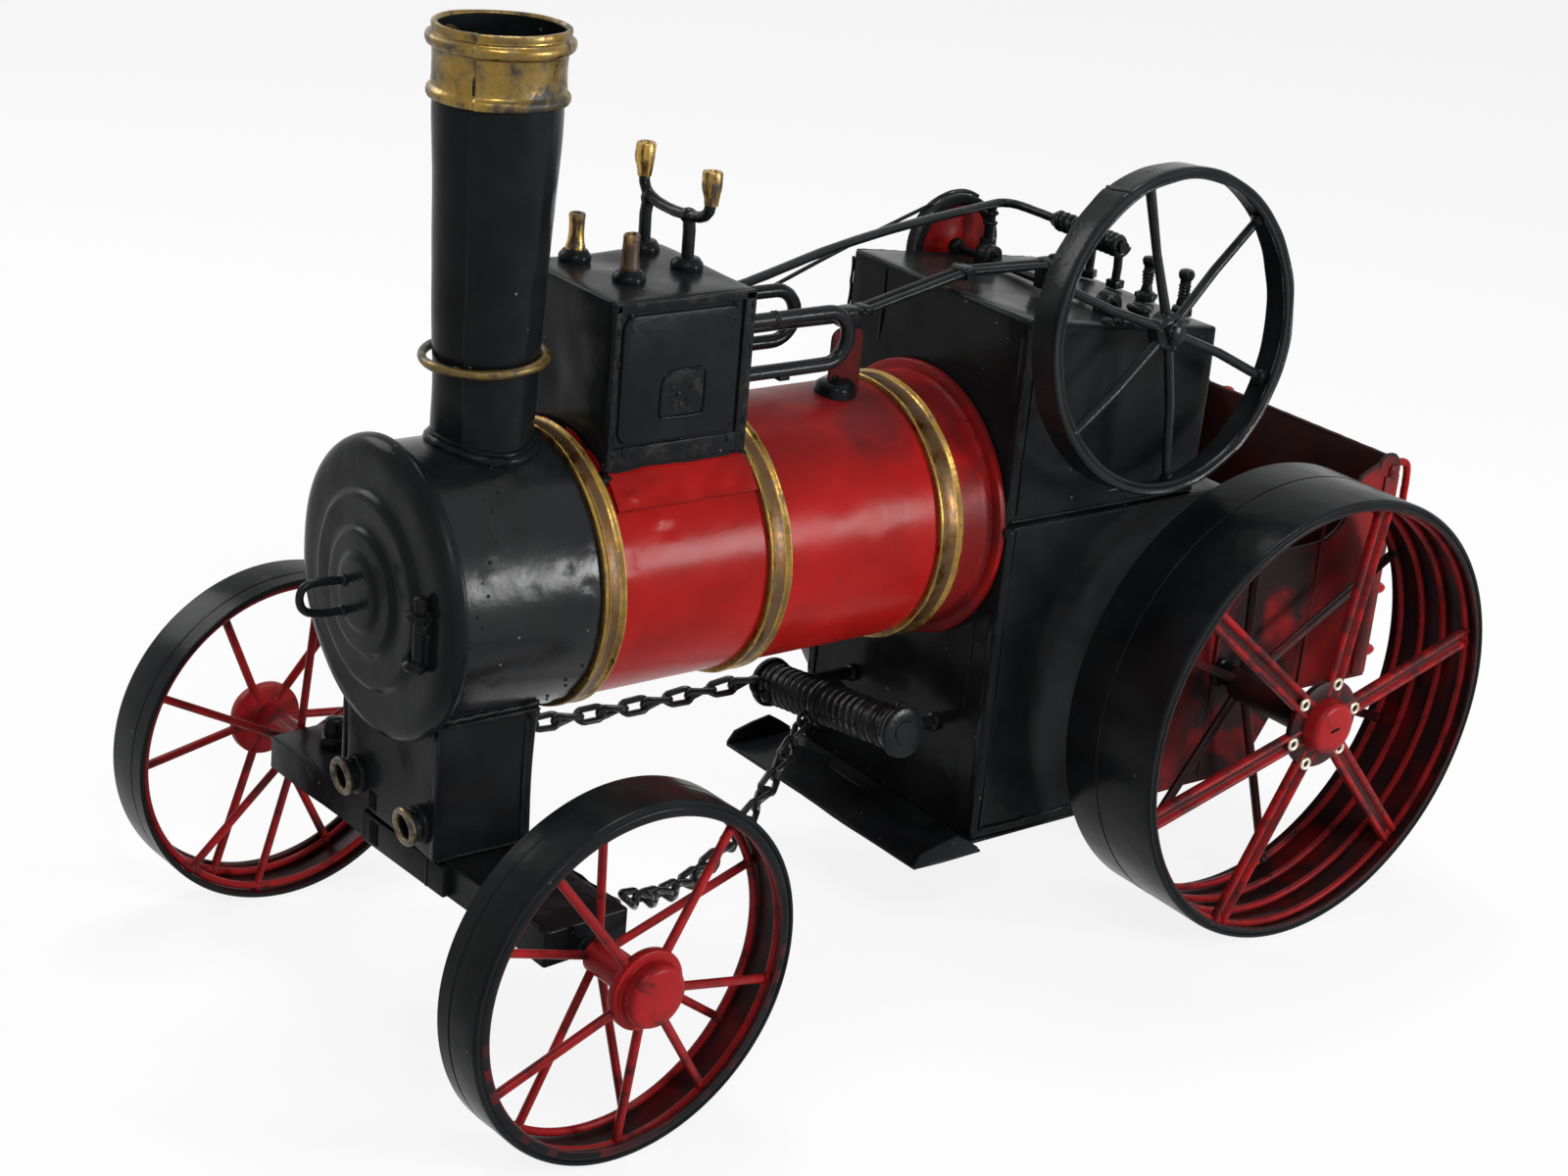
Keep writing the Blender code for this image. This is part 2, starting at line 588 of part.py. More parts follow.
def make_boiler():
    start = BAND_PLACES_Y[0] + GAP
    flange_start = BARREL_REAR_Y - FLANGE_DEPTH
    flange = BODY_HALF_WIDTH - FLANGE_INSET
    profile = [(0.0, BARREL_REAR_Y), (flange, BARREL_REAR_Y), (flange, flange_start),
               (BARREL_RADIUS, flange_start), (BARREL_RADIUS, start), (0.0, start)]
    barrel = turned("boiler_barrel", profile, (0, 0, BOILER_Z), "Y", WHEEL_STEPS)
    paint(barrel, RED)
    names = ("boiler_band_front", "boiler_band_middle", "boiler_band_rear")
    bore = BARREL_RADIUS + GAP
    for name, place, width in zip(names, BAND_PLACES_Y, BAND_WIDTHS):
        half = width / 2
        base = bore + BAND_THICKNESS
        profile = [(base, half), (base, -half), (bore, -half), (bore, half)]
        band = turned(name, profile, (0, place, BOILER_Z), "Y", WHEEL_STEPS, closed=True)
        paint(band, BRASS)


def make_steam_chest():
    length = CHEST_REAR_Y - CHEST_FRONT_Y
    middle_y = (CHEST_REAR_Y + CHEST_FRONT_Y) / 2
    saddle_reach = 0.0040
    saddle_depth = 0.0008
    saddle_radius = BARREL_RADIUS + GAP + saddle_depth
    chest_low = BOILER_Z + 0.0200
    chest = box("steam_chest", (2 * CHEST_HALF_WIDTH, length, CHEST_TOP_Z - chest_low),
                (0, middle_y, (CHEST_TOP_Z + chest_low) / 2), 0.0006)
    chest = bake(chest)
    belly = rod("belly", (0, CHEST_FRONT_Y - 0.01, BOILER_Z), (0, CHEST_REAR_Y + 0.02, BOILER_Z),
                saddle_radius + GAP, 112)
    chest = combine(chest, [belly], "DIFFERENCE")
    panel = (CHEST_HALF_WIDTH, middle_y - 0.0010, CHEST_TOP_Z - 0.0175)
    inner_panel = (CHEST_HALF_WIDTH, middle_y, CHEST_TOP_Z - 0.0219)
    panels = [box("panel", (0.0012, 0.0315, 0.0296), panel),
              box("panel", (0.0022, 0.0120, 0.0110), inner_panel)]
    nut_places = ((0.0050, CHEST_FRONT_Y + 0.0125), (-0.0140, CHEST_FRONT_Y + 0.0105))
    post_places = ((0.0000, CHEST_REAR_Y - 0.0060), (-0.0160, CHEST_REAR_Y - 0.0070))
    nut_top = CHEST_TOP_Z + CHEST_NUT_HEIGHT
    nuts = [turned("nut", [(0.0, nut_top), (0.0031, nut_top), (0.0037, nut_top - 0.0007),
                           (0.0037, CHEST_TOP_Z - 0.0010), (0.0, CHEST_TOP_Z - 0.0010)], (x, y, 0), "Z", 16)
            for x, y in nut_places + post_places]
    chest = combine(chest, panels + nuts)
    paint(chest, BLACK)
    saddle = rod("chest_saddle", (0, CHEST_FRONT_Y, BOILER_Z), (0, CHEST_REAR_Y, BOILER_Z),
                 saddle_radius, 80)
    inner = rod("inner", (0, CHEST_FRONT_Y - 0.01, BOILER_Z), (0, CHEST_REAR_Y + 0.01, BOILER_Z),
                BARREL_RADIUS + GAP, 80)
    saddle_half = CHEST_HALF_WIDTH + saddle_reach
    keep = box("keep", (2 * saddle_half, length + 0.02, 0.04), (0, middle_y, BOILER_Z + 0.0200 + 0.02))
    saddle = combine(saddle, [inner], "DIFFERENCE")
    saddle = combine(saddle, [keep], "INTERSECT")
    paint(saddle, RED)
    stud_names = ("chest_stud_near", "chest_stud_far")
    for name, (x, y) in zip(stud_names, nut_places):
        base = nut_top + GAP
        profile = [(0.0, base + 0.0080), (0.0014, base + 0.0080), (0.0018, base + 0.0075),
                   (0.0017, base + 0.0026), (0.0024, base + 0.0020), (0.0024, base), (0.0, base)]
        stud = turned(name, profile, (x, y, 0), "Z", 16)
        paint(stud, BRASS)
    yoke_y = CHEST_REAR_Y - 0.0065
    base = nut_top + GAP
    high = CHEST_TOP_Z + YOKE_HEIGHT
    bar = wire("valve_yoke", [(-0.0185, yoke_y, high + 0.0049), (-0.0185, yoke_y, high + 0.0026),
                              (-0.0155, yoke_y, high), (-0.0080, yoke_y, high - 0.0008),
                              (0.0000, yoke_y, high - 0.0004), (0.0050, yoke_y, high + 0.0006),
                              (0.0080, yoke_y, high + 0.0026), (0.0080, yoke_y, high + 0.0046)], 0.0012)
    posts = [rod("post", (x, y, base), (x, yoke_y, high), 0.0013, 12) for x, y in post_places]
    bar = combine(bar, posts)
    paint(bar, WIRE)
    caps = (("yoke_cap_near", 0.0080, high + 0.0046), ("yoke_cap_far", -0.0185, high + 0.0049))
    for name, x, low in caps:
        low += GAP
        profile = [(0.0, low + 0.0068), (0.0021, low + 0.0068), (0.0024, low + 0.0060),
                   (0.0024, low + 0.0042), (0.0017, low + 0.0036), (0.0017, low), (0.0, low)]
        cap = turned(name, profile, (x, yoke_y, 0), "Z", 16)
        paint(cap, BRASS)
    return nut_places


def make_motion():
    """Slide loops, piston rod, crosshead bracket, connecting rods and their strap."""
    start = CHEST_REAR_Y + GAP
    loops = (("slide_loop_near", 0.0140, 0.0079, 0.0), ("slide_loop_far", -0.0080, 0.0089, 0.0010))
    for name, x, drop, shorter in loops:
        top = GEAR_Z - drop
        bottom = top - SLIDE_HEIGHT
        reach = CHEST_REAR_Y + SLIDE_REACH - shorter
        middle = (top + bottom) / 2
        bend = (top - bottom) / 2
        points = [(x, start, top), (x, reach, top)]
        points += arc((x, reach, middle), bend, 90, -90, 8)[1:-1]
        points += [(x, reach, bottom), (x, start, bottom)]
        loop = wire(name, points, SLIDE_TUBE)
        paint(loop, WIRE)
    rod_x = ROD_X
    head_y = CHEST_REAR_Y + HEAD_REACH
    head_z = GEAR_Z - 0.0139
    piston = rod("piston_rod", (rod_x, start, head_z), (rod_x, head_y - 0.0010, head_z), 0.0013, 12)
    block = box("block", (0.0052, 0.0050, 0.0050), (rod_x, head_y, head_z), 0.0006)
    piston = combine(piston, [bake(block)])
    paint(piston, WIRE)
    foot = BOILER_Z + BARREL_RADIUS + GAP
    bracket = box("crosshead_bracket", (0.0012, 0.0090, head_z - 0.0025 - GAP - foot + 0.0060),
                  (rod_x, head_y + 0.0010, (head_z - 0.0025 - GAP + foot - 0.0060) / 2))
    profile = [(0.0, foot + 0.0030), (0.0040, foot + 0.0030), (0.0050, foot + 0.0020),
               (0.0050, foot - 0.0060), (0.0, foot - 0.0060)]
    boss = turned("boss", profile, (rod_x, head_y - 0.0010, 0), "Z", 20)
    belly = rod("belly", (0, -0.06, BOILER_Z), (0, 0.03, BOILER_Z), BARREL_RADIUS + GAP, 112)
    bracket = combine(bracket, [boss])
    bracket = combine(bracket, [belly], "DIFFERENCE")
    paint(bracket, RED)
    joint = (rod_x, CAB_FRONT_Y + 0.0055, CRANK_Z + 0.0059)
    strap_z = CRANK_Z + 0.0054
    strap_front = CRANK_Y - 0.0035
    rods = []
    for shift in (-0.0013, 0.0013):
        begin = (rod_x + shift, head_y + 0.0025 + GAP, head_z + 0.0010)
        rods.append(wire("rod", [begin, (joint[0] + shift, joint[1], joint[2]),
                                 (rod_x + shift, strap_front + 0.0010, strap_z)], 0.0009))
    knuckle = box("knuckle", (0.0046, 0.0040, 0.0032), joint, 0.0005)
    strap = box("strap", (0.0052, 0.0070, 0.0082), (rod_x, CRANK_Y, CRANK_Z + 0.0031), 0.0006)
    slot = box("slot", (0.0080, 2 * (CRANK_RADIUS + HUB_CLEARANCE), 0.0060),
               (rod_x, CRANK_Y, CRANK_Z + CRANK_RADIUS + HUB_CLEARANCE - 0.0030))
    strap = bake(strap)
    strap = combine(strap, [slot], "DIFFERENCE")
    strap = combine(strap, [bake(knuckle)] + rods)
    strap.name = "connecting_rods"
    paint(strap, WIRE)


def top_z(y):
    """Height of the sloping roof of the upper box."""
    share = (y - CAB_FRONT_Y) / (CAB_REAR_Y - CAB_FRONT_Y)
    return CAB_TOP_FRONT_Z + share * (CAB_TOP_REAR_Z - CAB_TOP_FRONT_Z)


def seat_z(y, reach):
    """Height at which a foot that reaches this far from y stands clear of the roof."""
    return top_z(y - reach) + GAP


def make_open_box(name, low, high, missing, roof=None):
    """A sheet box without the faces whose outward directions are listed."""
    shape = bmesh.new()
    bmesh.ops.create_cube(shape, size=1.0)
    size = [high[k] - low[k] for k in range(3)]
    centre = [(high[k] + low[k]) / 2 for k in range(3)]
    bmesh.ops.scale(shape, vec=size, verts=shape.verts)
    bmesh.ops.translate(shape, vec=centre, verts=shape.verts)
    if roof:
        for vert in shape.verts:
            if vert.co.z > centre[2]:
                vert.co.z = roof(vert.co.y)
    bmesh.ops.recalc_face_normals(shape, faces=shape.faces)
    drop = [face for face in shape.faces
            if any(face.normal.dot(Vector(direction)) > 0.9 for direction in missing)]
    bmesh.ops.delete(shape, geom=drop, context="FACES")
    mesh = bpy.data.meshes.new(name)
    shape.to_mesh(mesh)
    shape.free()
    piece = add_mesh(name, mesh)
    rounding = piece.modifiers.new("folds", "BEVEL")
    rounding.width = 0.0012
    rounding.segments = 2
    wall = piece.modifiers.new("sheet", "SOLIDIFY")
    wall.thickness = SHEET
    wall.offset = -1.0
    wall.use_even_offset = True
    return bake(piece)


def make_boxes():
    down = (0, 0, -1)
    cab = make_open_box("cab_box", (-CAB_HALF_WIDTH, CAB_FRONT_Y, BODY_TOP_Z + GAP),
                        (CAB_HALF_WIDTH, CAB_REAR_Y, CAB_TOP_FRONT_Z), [down], top_z)
    paint(cab, BLACK)
    body = make_open_box("firebox_body", (-BODY_HALF_WIDTH, CAB_FRONT_Y, BODY_BOTTOM_Z),
                         (BODY_HALF_WIDTH, BODY_REAR_Y, BODY_TOP_Z), [down])
    hole = rod("hole", (-0.05, REAR_AXLE_Y, REAR_WHEEL_RADIUS), (0.05, REAR_AXLE_Y, REAR_WHEEL_RADIUS),
               REAR_AXLE_RADIUS + GAP, 20)
    body = combine(body, [hole], "DIFFERENCE")
    paint(body, BLACK)
    tray_z = BODY_BOTTOM_Z - GAP
    front = CAB_FRONT_Y - TRAY_REACH
    tray = box("ash_tray", (2 * TRAY_HALF_WIDTH, TRAY_REACH, SHEET),
               (0, CAB_FRONT_Y - TRAY_REACH / 2, tray_z - SHEET / 2))
    base = box("base", (2 * BODY_HALF_WIDTH, BODY_REAR_Y - front - TRAY_REACH / 2, SHEET),
               (0, (BODY_REAR_Y + front + TRAY_REACH / 2) / 2, tray_z - SHEET / 2))
    under = tray_z - SHEET
    lip_end = CAB_FRONT_Y - 0.0010
    outline = [(front, under), (lip_end, under), (lip_end, tray_z + 0.0010),
               (front + 0.0135, tray_z + 0.0058), (front + 0.0022, tray_z + 0.0032),
               (front, tray_z + 0.0004)]
    lips = [plate("lip", outline, SHEET, side * (TRAY_HALF_WIDTH - SHEET / 2)) for side in (1, -1)]
    tray = combine(tray, [base] + lips)
    paint(tray, BLACK)


def make_tender():
    outer = BODY_HALF_WIDTH + GAP + SHEET
    sweep_radius = 0.0130
    start_y = TENDER_REAR_Y - 0.0160 - sweep_radius
    outline = [(TENDER_FRONT_Y, BODY_BOTTOM_Z), (TENDER_FRONT_Y + 0.0320, BODY_BOTTOM_Z),
               (TENDER_FRONT_Y + 0.0460, TENDER_FLOOR_Z), (TENDER_REAR_Y, TENDER_FLOOR_Z),
               (TENDER_REAR_Y, TENDER_CORNER_TOP_Z)]
    corner = 0.0040
    for i in range(5):
        angle = math.radians(90 + 22.5 * i)
        outline.append((start_y + sweep_radius + corner + corner * math.cos(angle),
                        TENDER_CORNER_TOP_Z - corner + corner * math.sin(angle)))
    for i in range(5):
        angle = math.radians(0 - 22.5 * i)
        outline.append((start_y + sweep_radius * math.cos(angle),
                        TENDER_SIDE_TOP_Z + sweep_radius + sweep_radius * math.sin(angle)))
    outline.append((TENDER_FRONT_Y, TENDER_SIDE_TOP_Z))
    sides = [plate("side", outline, SHEET, side * (outer - SHEET / 2)) for side in (1, -1)]
    floor = box("floor", (2 * outer - SHEET, TENDER_REAR_Y - BODY_REAR_Y - 0.0020, SHEET),
                (0, (TENDER_REAR_Y + BODY_REAR_Y) / 2, TENDER_FLOOR_Z + SHEET / 2 + 0.0004))
    rear = box("rear", (2 * outer - SHEET, SHEET, TENDER_CORNER_TOP_Z - 0.0020 - TENDER_FLOOR_Z),
               (0, TENDER_REAR_Y - SHEET / 2 - 0.0002, (TENDER_CORNER_TOP_Z - 0.0020 + TENDER_FLOOR_Z) / 2
                + 0.0002))
    tub = combine(sides[0], [rear, floor, sides[1]])
    tub.name = "tender_tub"
    hole = rod("hole", (-0.05, REAR_AXLE_Y, REAR_WHEEL_RADIUS), (0.05, REAR_AXLE_Y, REAR_WHEEL_RADIUS),
               REAR_AXLE_RADIUS + GAP, 20)
    tub = combine(tub, [hole], "DIFFERENCE")
    paint(tub, RED)
    loop_wire = 0.0011
    back = TENDER_REAR_Y + GAP
    reach = TENDER_REAR_Y + REAR_LOOP_REACH - loop_wire
    for name, side in (("tender_handle_near", 1), ("tender_handle_far", -1)):
        x = side * (BODY_HALF_WIDTH - LOOP_INSET)
        bend = 0.0040
        high = TENDER_CORNER_TOP_Z - 0.0040
        low = high - 0.0190
        points = [(x, back, high), (x, reach - bend, high)]
        points += arc((x, reach - bend, high - bend), bend, 90, 0, 4)[1:]
        points += arc((x, reach - bend, low + bend), bend, 0, -90, 4)
        points += [(x, back, low)]
        paint(wire(name, points, loop_wire), RED)
    for name, z in (("tender_step_upper", 0.0715), ("tender_step_lower", 0.0530)):
        bend = 0.0040
        right = BODY_HALF_WIDTH - LOOP_INSET
        left = right - 0.0180
        points = [(right, back, z), (right, reach - bend, z)]
        points += arc((right - bend, reach - bend, z), bend, 0, 90, 4, "XY")[1:]
        points += arc((left + bend, reach - bend, z), bend, 90, 180, 4, "XY")
        points += [(left, back, z)]
        paint(wire(name, points, loop_wire), RED)


def make_crank():
    pivot = make_pivot("flywheel_pivot", (FLYWHEEL_X, CRANK_Y, CRANK_Z))
    far_end = PULLEY_X - 0.0030 - FLYWHEEL_X
    shaft = rod("crankshaft", (far_end, 0, 0), (-0.0040 - 2 * GAP, 0, 0), CRANK_RADIUS, 16)
    paint(shaft, WIRE)
    half = FLYWHEEL_WIDTH / 2
    inside = FLYWHEEL_RADIUS - RIM_SHEET
    profile = [(FLYWHEEL_RADIUS, half), (FLYWHEEL_RADIUS, -half), (inside, -half), (inside, half - 0.0013),
               (FLYWHEEL_RADIUS - 0.0030, half - 0.0013), (FLYWHEEL_RADIUS - 0.0030, half)]
    rim = turned("flywheel", profile, (0, 0, 0), "X", WHEEL_STEPS, closed=True)
    spokes = [rod("spoke", radial(a, 0.0020, 0.0006), radial(a, inside + 0.0004, -0.0006), 0.0012, 8)
              for a in FLYWHEEL_SPOKES]
    hub = turned("hub", [(0.0, 0.0048), (0.0026, 0.0048), (0.0030, 0.0040), (0.0030, 0.0022),
                         (0.0046, 0.0020), (0.0046, -0.0020), (0.0026, -0.0040), (0.0, -0.0040)],
                 (0, 0, 0), "X", 16)
    rim = combine(hub, spokes + [rim])
    rim.name = "flywheel"
    rim.data.transform(Matrix.Rotation(-FLYWHEEL_LEAN, 4, "Y"))
    paint(rim, BLACK)
    bore = CRANK_RADIUS + GAP
    pulley_offset = PULLEY_X - FLYWHEEL_X
    profile = [(PULLEY_RADIUS, 0.0022), (PULLEY_RADIUS - 0.0010, 0.0006), (PULLEY_RADIUS - 0.0010, -0.0006),
               (PULLEY_RADIUS, -0.0022), (bore, -0.0022), (bore, 0.0022)]
    pulley = turned("belt_pulley", profile, (pulley_offset, 0, 0), "X", 28, closed=True)
    paint(pulley, RED)
    place_on([shaft, rim, pulley], pivot)
    for name, x in (("crank_bearing_near", 0.0230), ("crank_bearing_far", -0.0220)):
        roof = top_z(CRANK_Y) + GAP
        height = CRANK_Z + 0.0040 - roof
        middle = (x, CRANK_Y, roof + height / 2 - 0.0010)
        block = box(name, (0.0040, 0.0064, height + 0.0020), middle, 0.0006)
        block = bake(block)
        bearing_bore = rod("bore", (x - 0.01, CRANK_Y, CRANK_Z), (x + 0.01, CRANK_Y, CRANK_Z),
                           CRANK_RADIUS + HUB_CLEARANCE, 16)
        slope = math.atan2(CAB_TOP_REAR_Z - CAB_TOP_FRONT_Z, CAB_REAR_Y - CAB_FRONT_Y)
        under = box("under", (0.02, 0.03, 0.01), (0, 0, -0.005))
        under.data.transform(Matrix.Translation((x, CRANK_Y, roof)) @ Matrix.Rotation(slope, 4, "X"))
        block = combine(block, [bearing_bore, under], "DIFFERENCE")
        paint(block, BLACK)


def make_roof_fittings():
    row_y = CAB_REAR_Y - 0.0030
    roof = seat_z(row_y, 0.0024)
    drum_z = roof + 0.0106
    turns = []
    for i in range(4):
        place = 0.0009 - 0.0035 * i
        turns += [(0.0031, place), (0.0033, place - 0.0012), (0.0025, place - 0.0018)]
        turns.append((0.0025, place - 0.0031))
    drum = turned("roof_drum", [(0.0, 0.0009)] + turns + [(0.0, -0.0127)], (0, row_y, drum_z), "X", 12)
    legs = [rod("leg", (x, row_y, roof), (x, row_y, drum_z), 0.0012, 10) for x in (-0.0110, -0.0010)]
    drum = combine(drum, legs)
    paint(drum, WIRE)
    for name, x in (("roof_lever_near", 0.0236), ("roof_lever_far", 0.0106)):
        profile = [(0.0, roof + 0.0112), (0.0018, roof + 0.0112), (0.0021, roof + 0.0104),
                   (0.0012, roof + 0.0094), (0.0012, roof + 0.0024), (0.0026, roof + 0.0018),
                   (0.0026, roof), (0.0, roof)]
        lever = turned(name, profile, (x, row_y, 0), "Z", 12)
        paint(lever, WIRE)


def make_throttle_rod():
    post_x = -0.0300
    post_y = CAB_REAR_Y - 0.0159
    roof = seat_z(post_y - 0.0060, 0.0028)
    rod_z = GEAR_Z + 0.0001
    start = (0.0064, CHEST_REAR_Y + GAP, GEAR_Z - 0.0020)
    points = [start, (start[0], CHEST_REAR_Y + 0.0040, start[2]),
              (-0.0100, CHEST_REAR_Y + 0.0510, rod_z + 0.0013),
              (post_x, post_y - 0.0060, rod_z), (post_x + 0.0012, post_y - 0.0018, rod_z),
              (post_x + 0.0050, post_y, rod_z), (0.0020, post_y, rod_z)]
    line = wire("throttle_rod", points, 0.0010)
    post = turned("post", [(0.0, rod_z - 0.0002), (0.0013, rod_z - 0.0002), (0.0013, roof + 0.0024),
                           (0.0028, roof + 0.0020), (0.0028, roof), (0.0, roof)],
                  (post_x, post_y - 0.0060, 0), "Z", 12)
    line = combine(line, [post])
    paint(line, WIRE)
    rings = [(0.0018, 0.0066)]
    for i in range(4):
        place = 0.0056 - 0.0031 * i
        rings += [(0.0027, place), (0.0027, place - 0.0013), (0.0023, place - 0.0018)]
    rings += [(0.0018, -0.0066), (0.0013, -0.0066), (0.0013, 0.0066)]
    sleeve = turned("throttle_sleeve", rings, (-0.0056, post_y, rod_z), "X", 12, closed=True)
    paint(sleeve, WIRE)


def make_belt():
    radius = PULLEY_RADIUS + 0.0009
    points = arc((PULLEY_X, CRANK_Y, CRANK_Z), radius, 60, 128, 6)
    leave = Vector(points[-1])
    arrive = Vector((-0.0150, CHEST_REAR_Y + GAP, GEAR_Z - 0.0224))
    for share in (0.30, 0.52, 0.70, 0.85, 1.0):
        knot = leave.lerp(arrive, share)
        points.append((knot.x, knot.y, knot.z + 0.0040 * share * (1 - share)))
    belt = wire("belt_wire", points, 0.0005, resolution=1)
    paint(belt, WIRE)


def make_pedestal():
    top = BOILER_Z - BARREL_RADIUS + 0.0060
    height = top - PEDESTAL_BOTTOM_Z
    left, right = PEDESTAL_SIDES_X
    face, back = PEDESTAL_ENDS_Y
    pedestal = box("pedestal", (right - left, back - face, height),
                   ((left + right) / 2, (face + back) / 2, PEDESTAL_BOTTOM_Z + height / 2), 0.0006)
    pedestal = bake(pedestal)
    belly = rod("belly", (0, SMOKEBOX_FRONT_Y - 0.01, BOILER_Z), (0, BAND_PLACES_Y[0], BOILER_Z),
                BARREL_RADIUS + GAP, 112)
    pedestal = combine(pedestal, [belly], "DIFFERENCE")
    pin_low = (0, FRONT_AXLE_Y, BEAM_BOTTOM_Z + 0.0010)
    pin_high = (0, FRONT_AXLE_Y, PEDESTAL_BOTTOM_Z + 0.0030)
    pin = rod("pin", pin_low, pin_high, KINGPIN_RADIUS, 16)
    rings = [turned("ring", [(0.0046, 0.0012), (0.0046, -0.0016), (0.0041, -0.0024), (0.0041, -0.0030),
                             (0.0046, -0.0037), (0.0046, -0.0045), (0.0038, -0.0052), (0.0029, -0.0045),
                             (0.0029, 0.0012)], (x, face, z), "Y", 16, closed=True)
             for x, z in EYE_PLACES]
    pedestal = combine(pedestal, [pin] + rings)
    paint(pedestal, BLACK)


def make_steering_drum():
    half = DRUM_HALF_LENGTH - 0.0020
    core = DRUM_RADIUS - 0.0010
    count = 10
    pitch = 2 * half / count
    coils = []
    for i in range(count):
        place = half - pitch * i
        coils += [(core, place - 0.2 * pitch), (DRUM_RADIUS, place - 0.35 * pitch)]
        coils += [(DRUM_RADIUS, place - 0.65 * pitch), (core, place - 0.8 * pitch)]
    rim = DRUM_RADIUS + 0.0006
    profile = [(0.0, DRUM_HALF_LENGTH), (rim - 0.0008, DRUM_HALF_LENGTH), (rim, DRUM_HALF_LENGTH - 0.0008),
               (rim, half), (core, half)] + coils
    profile += [(core, -half), (rim, -half), (rim, -DRUM_HALF_LENGTH), (0.0, -DRUM_HALF_LENGTH)]
    drum = turned("steering_drum", profile, (0, 0, 0), "X", 14)
    drum.data.transform(Matrix.Translation((0, DRUM_Y, DRUM_Z)) @ Matrix.Rotation(-DRUM_LEAN, 4, "Y"))
    arms = []
    for side in (1, -1):
        x = side * (DRUM_HALF_LENGTH - 0.0110)
        arms.append(box("arm", (0.0030, CAB_FRONT_Y - GAP - DRUM_Y, 0.0040),
                        (x, (CAB_FRONT_Y - GAP + DRUM_Y) / 2, DRUM_Z)))
    drum = combine(drum, arms)
    paint(drum, WIRE)


def make_chain(name, route, link_length=0.0084, wire_radius=0.0007):
    """Links along a route, each turned a quarter from the last and meeting the next."""
    lengths = [0.0]
    for a, b in zip(route, route[1:]):
        lengths.append(lengths[-1] + (Vector(b) - Vector(a)).length)
    total = lengths[-1]
    count = max(2, round(total / (link_length - 2.2 * wire_radius)))
    pitch = total / count

    def at(distance):
        for i in range(len(route) - 1):
            if distance <= lengths[i + 1] or i == len(route) - 2:
                share = (distance - lengths[i]) / (lengths[i + 1] - lengths[i])
                return Vector(route[i]).lerp(Vector(route[i + 1]), share)

    links = []
    for i in range(count):
        a = at(i * pitch)
        b = at((i + 1) * pitch)
        direction = (b - a).normalized()
        half = (b - a).length / 2 + wire_radius * 0.8
        narrow = 0.0015
        straight = half - narrow
        outline = [(straight, -narrow, 0.0), (half, 0.0, 0.0), (straight, narrow, 0.0),
                   (-straight, narrow, 0.0), (-half, 0.0, 0.0), (-straight, -narrow, 0.0)]
        link = wire("link", outline, wire_radius, cyclic=True, resolution=0)
        turn = direction.to_track_quat("X", "Z").to_matrix().to_4x4()
        quarter = Matrix.Rotation(math.radians(41 + 90 * (i % 2)), 4, "X")
        link.data.transform(Matrix.Translation((a + b) / 2) @ turn @ quarter)
        links.append(link)
    base = links[0]
    even = links[2::2]
    odd = links[1::2]
    rest = [merge_loose("odd", odd)]
    if even:
        rest.append(merge_loose("even", even))
    chain = combine(base, rest)
    chain.name = name
    paint(chain, WIRE)


def make_chains():
    """Both steering chains, from the drum to the eyes on the axle."""
    steer = Matrix.Translation((0, FRONT_AXLE_Y, 0)) @ Matrix.Rotation(STEER_AT_REST, 4, "Z")
    front = DRUM_Y - 0.0078
    chains = (("steering_chain_near", 1, (-0.0030, front, DRUM_Z - 0.0040), 0.0330),
              ("steering_chain_far", -1, (-0.0240, front, DRUM_Z), 0.0470))
    for name, side, start, low in chains:
        end = steer @ Vector((side * 0.0470, BEAM_HALF_DEPTH + 0.0073, 0.0445))
        a = Vector(start)
        route = []
        for i in range(9):
            share = i / 8
            point = a.lerp(end, share)
            sag = 4 * share * (1 - share) * ((a.z + end.z) / 2 - low)
            route.append((point.x, point.y, point.z - sag))
        make_chain(name, route)


def build():
    make_smokebox()
    make_door_fittings()
    make_chimney()
    make_boiler()
    make_steam_chest()
    make_motion()
    make_boxes()
    make_tender()
    make_crank()
    make_roof_fittings()
    make_throttle_rod()
    make_belt()
    make_pedestal()
    make_steering_drum()
    make_front_axle()
    make_rear_axle()
    make_chains()


clear_scene()
PARTS = make_collection(MODEL_NAME)
build()
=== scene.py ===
import json
import math

import bmesh
import bpy
from mathutils import Matrix, Vector, noise


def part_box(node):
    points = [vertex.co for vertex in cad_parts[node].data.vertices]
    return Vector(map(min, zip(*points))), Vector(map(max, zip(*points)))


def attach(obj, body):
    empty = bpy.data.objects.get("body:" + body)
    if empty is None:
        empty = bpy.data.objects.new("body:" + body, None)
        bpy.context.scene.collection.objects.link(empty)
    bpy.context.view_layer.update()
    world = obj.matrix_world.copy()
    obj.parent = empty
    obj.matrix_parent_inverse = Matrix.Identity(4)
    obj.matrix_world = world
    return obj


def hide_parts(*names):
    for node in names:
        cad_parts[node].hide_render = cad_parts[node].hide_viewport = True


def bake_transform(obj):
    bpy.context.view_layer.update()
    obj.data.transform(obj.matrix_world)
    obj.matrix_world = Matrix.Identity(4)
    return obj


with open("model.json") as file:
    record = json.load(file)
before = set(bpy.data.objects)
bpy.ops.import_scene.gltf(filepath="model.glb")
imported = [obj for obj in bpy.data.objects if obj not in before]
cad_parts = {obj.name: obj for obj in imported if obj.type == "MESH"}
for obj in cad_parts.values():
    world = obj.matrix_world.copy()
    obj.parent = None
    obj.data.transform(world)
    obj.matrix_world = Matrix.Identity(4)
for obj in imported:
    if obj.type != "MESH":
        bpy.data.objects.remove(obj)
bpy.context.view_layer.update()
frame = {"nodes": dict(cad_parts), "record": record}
nodes = frame["nodes"]
mm = 0.001

# camera, lamps and floor

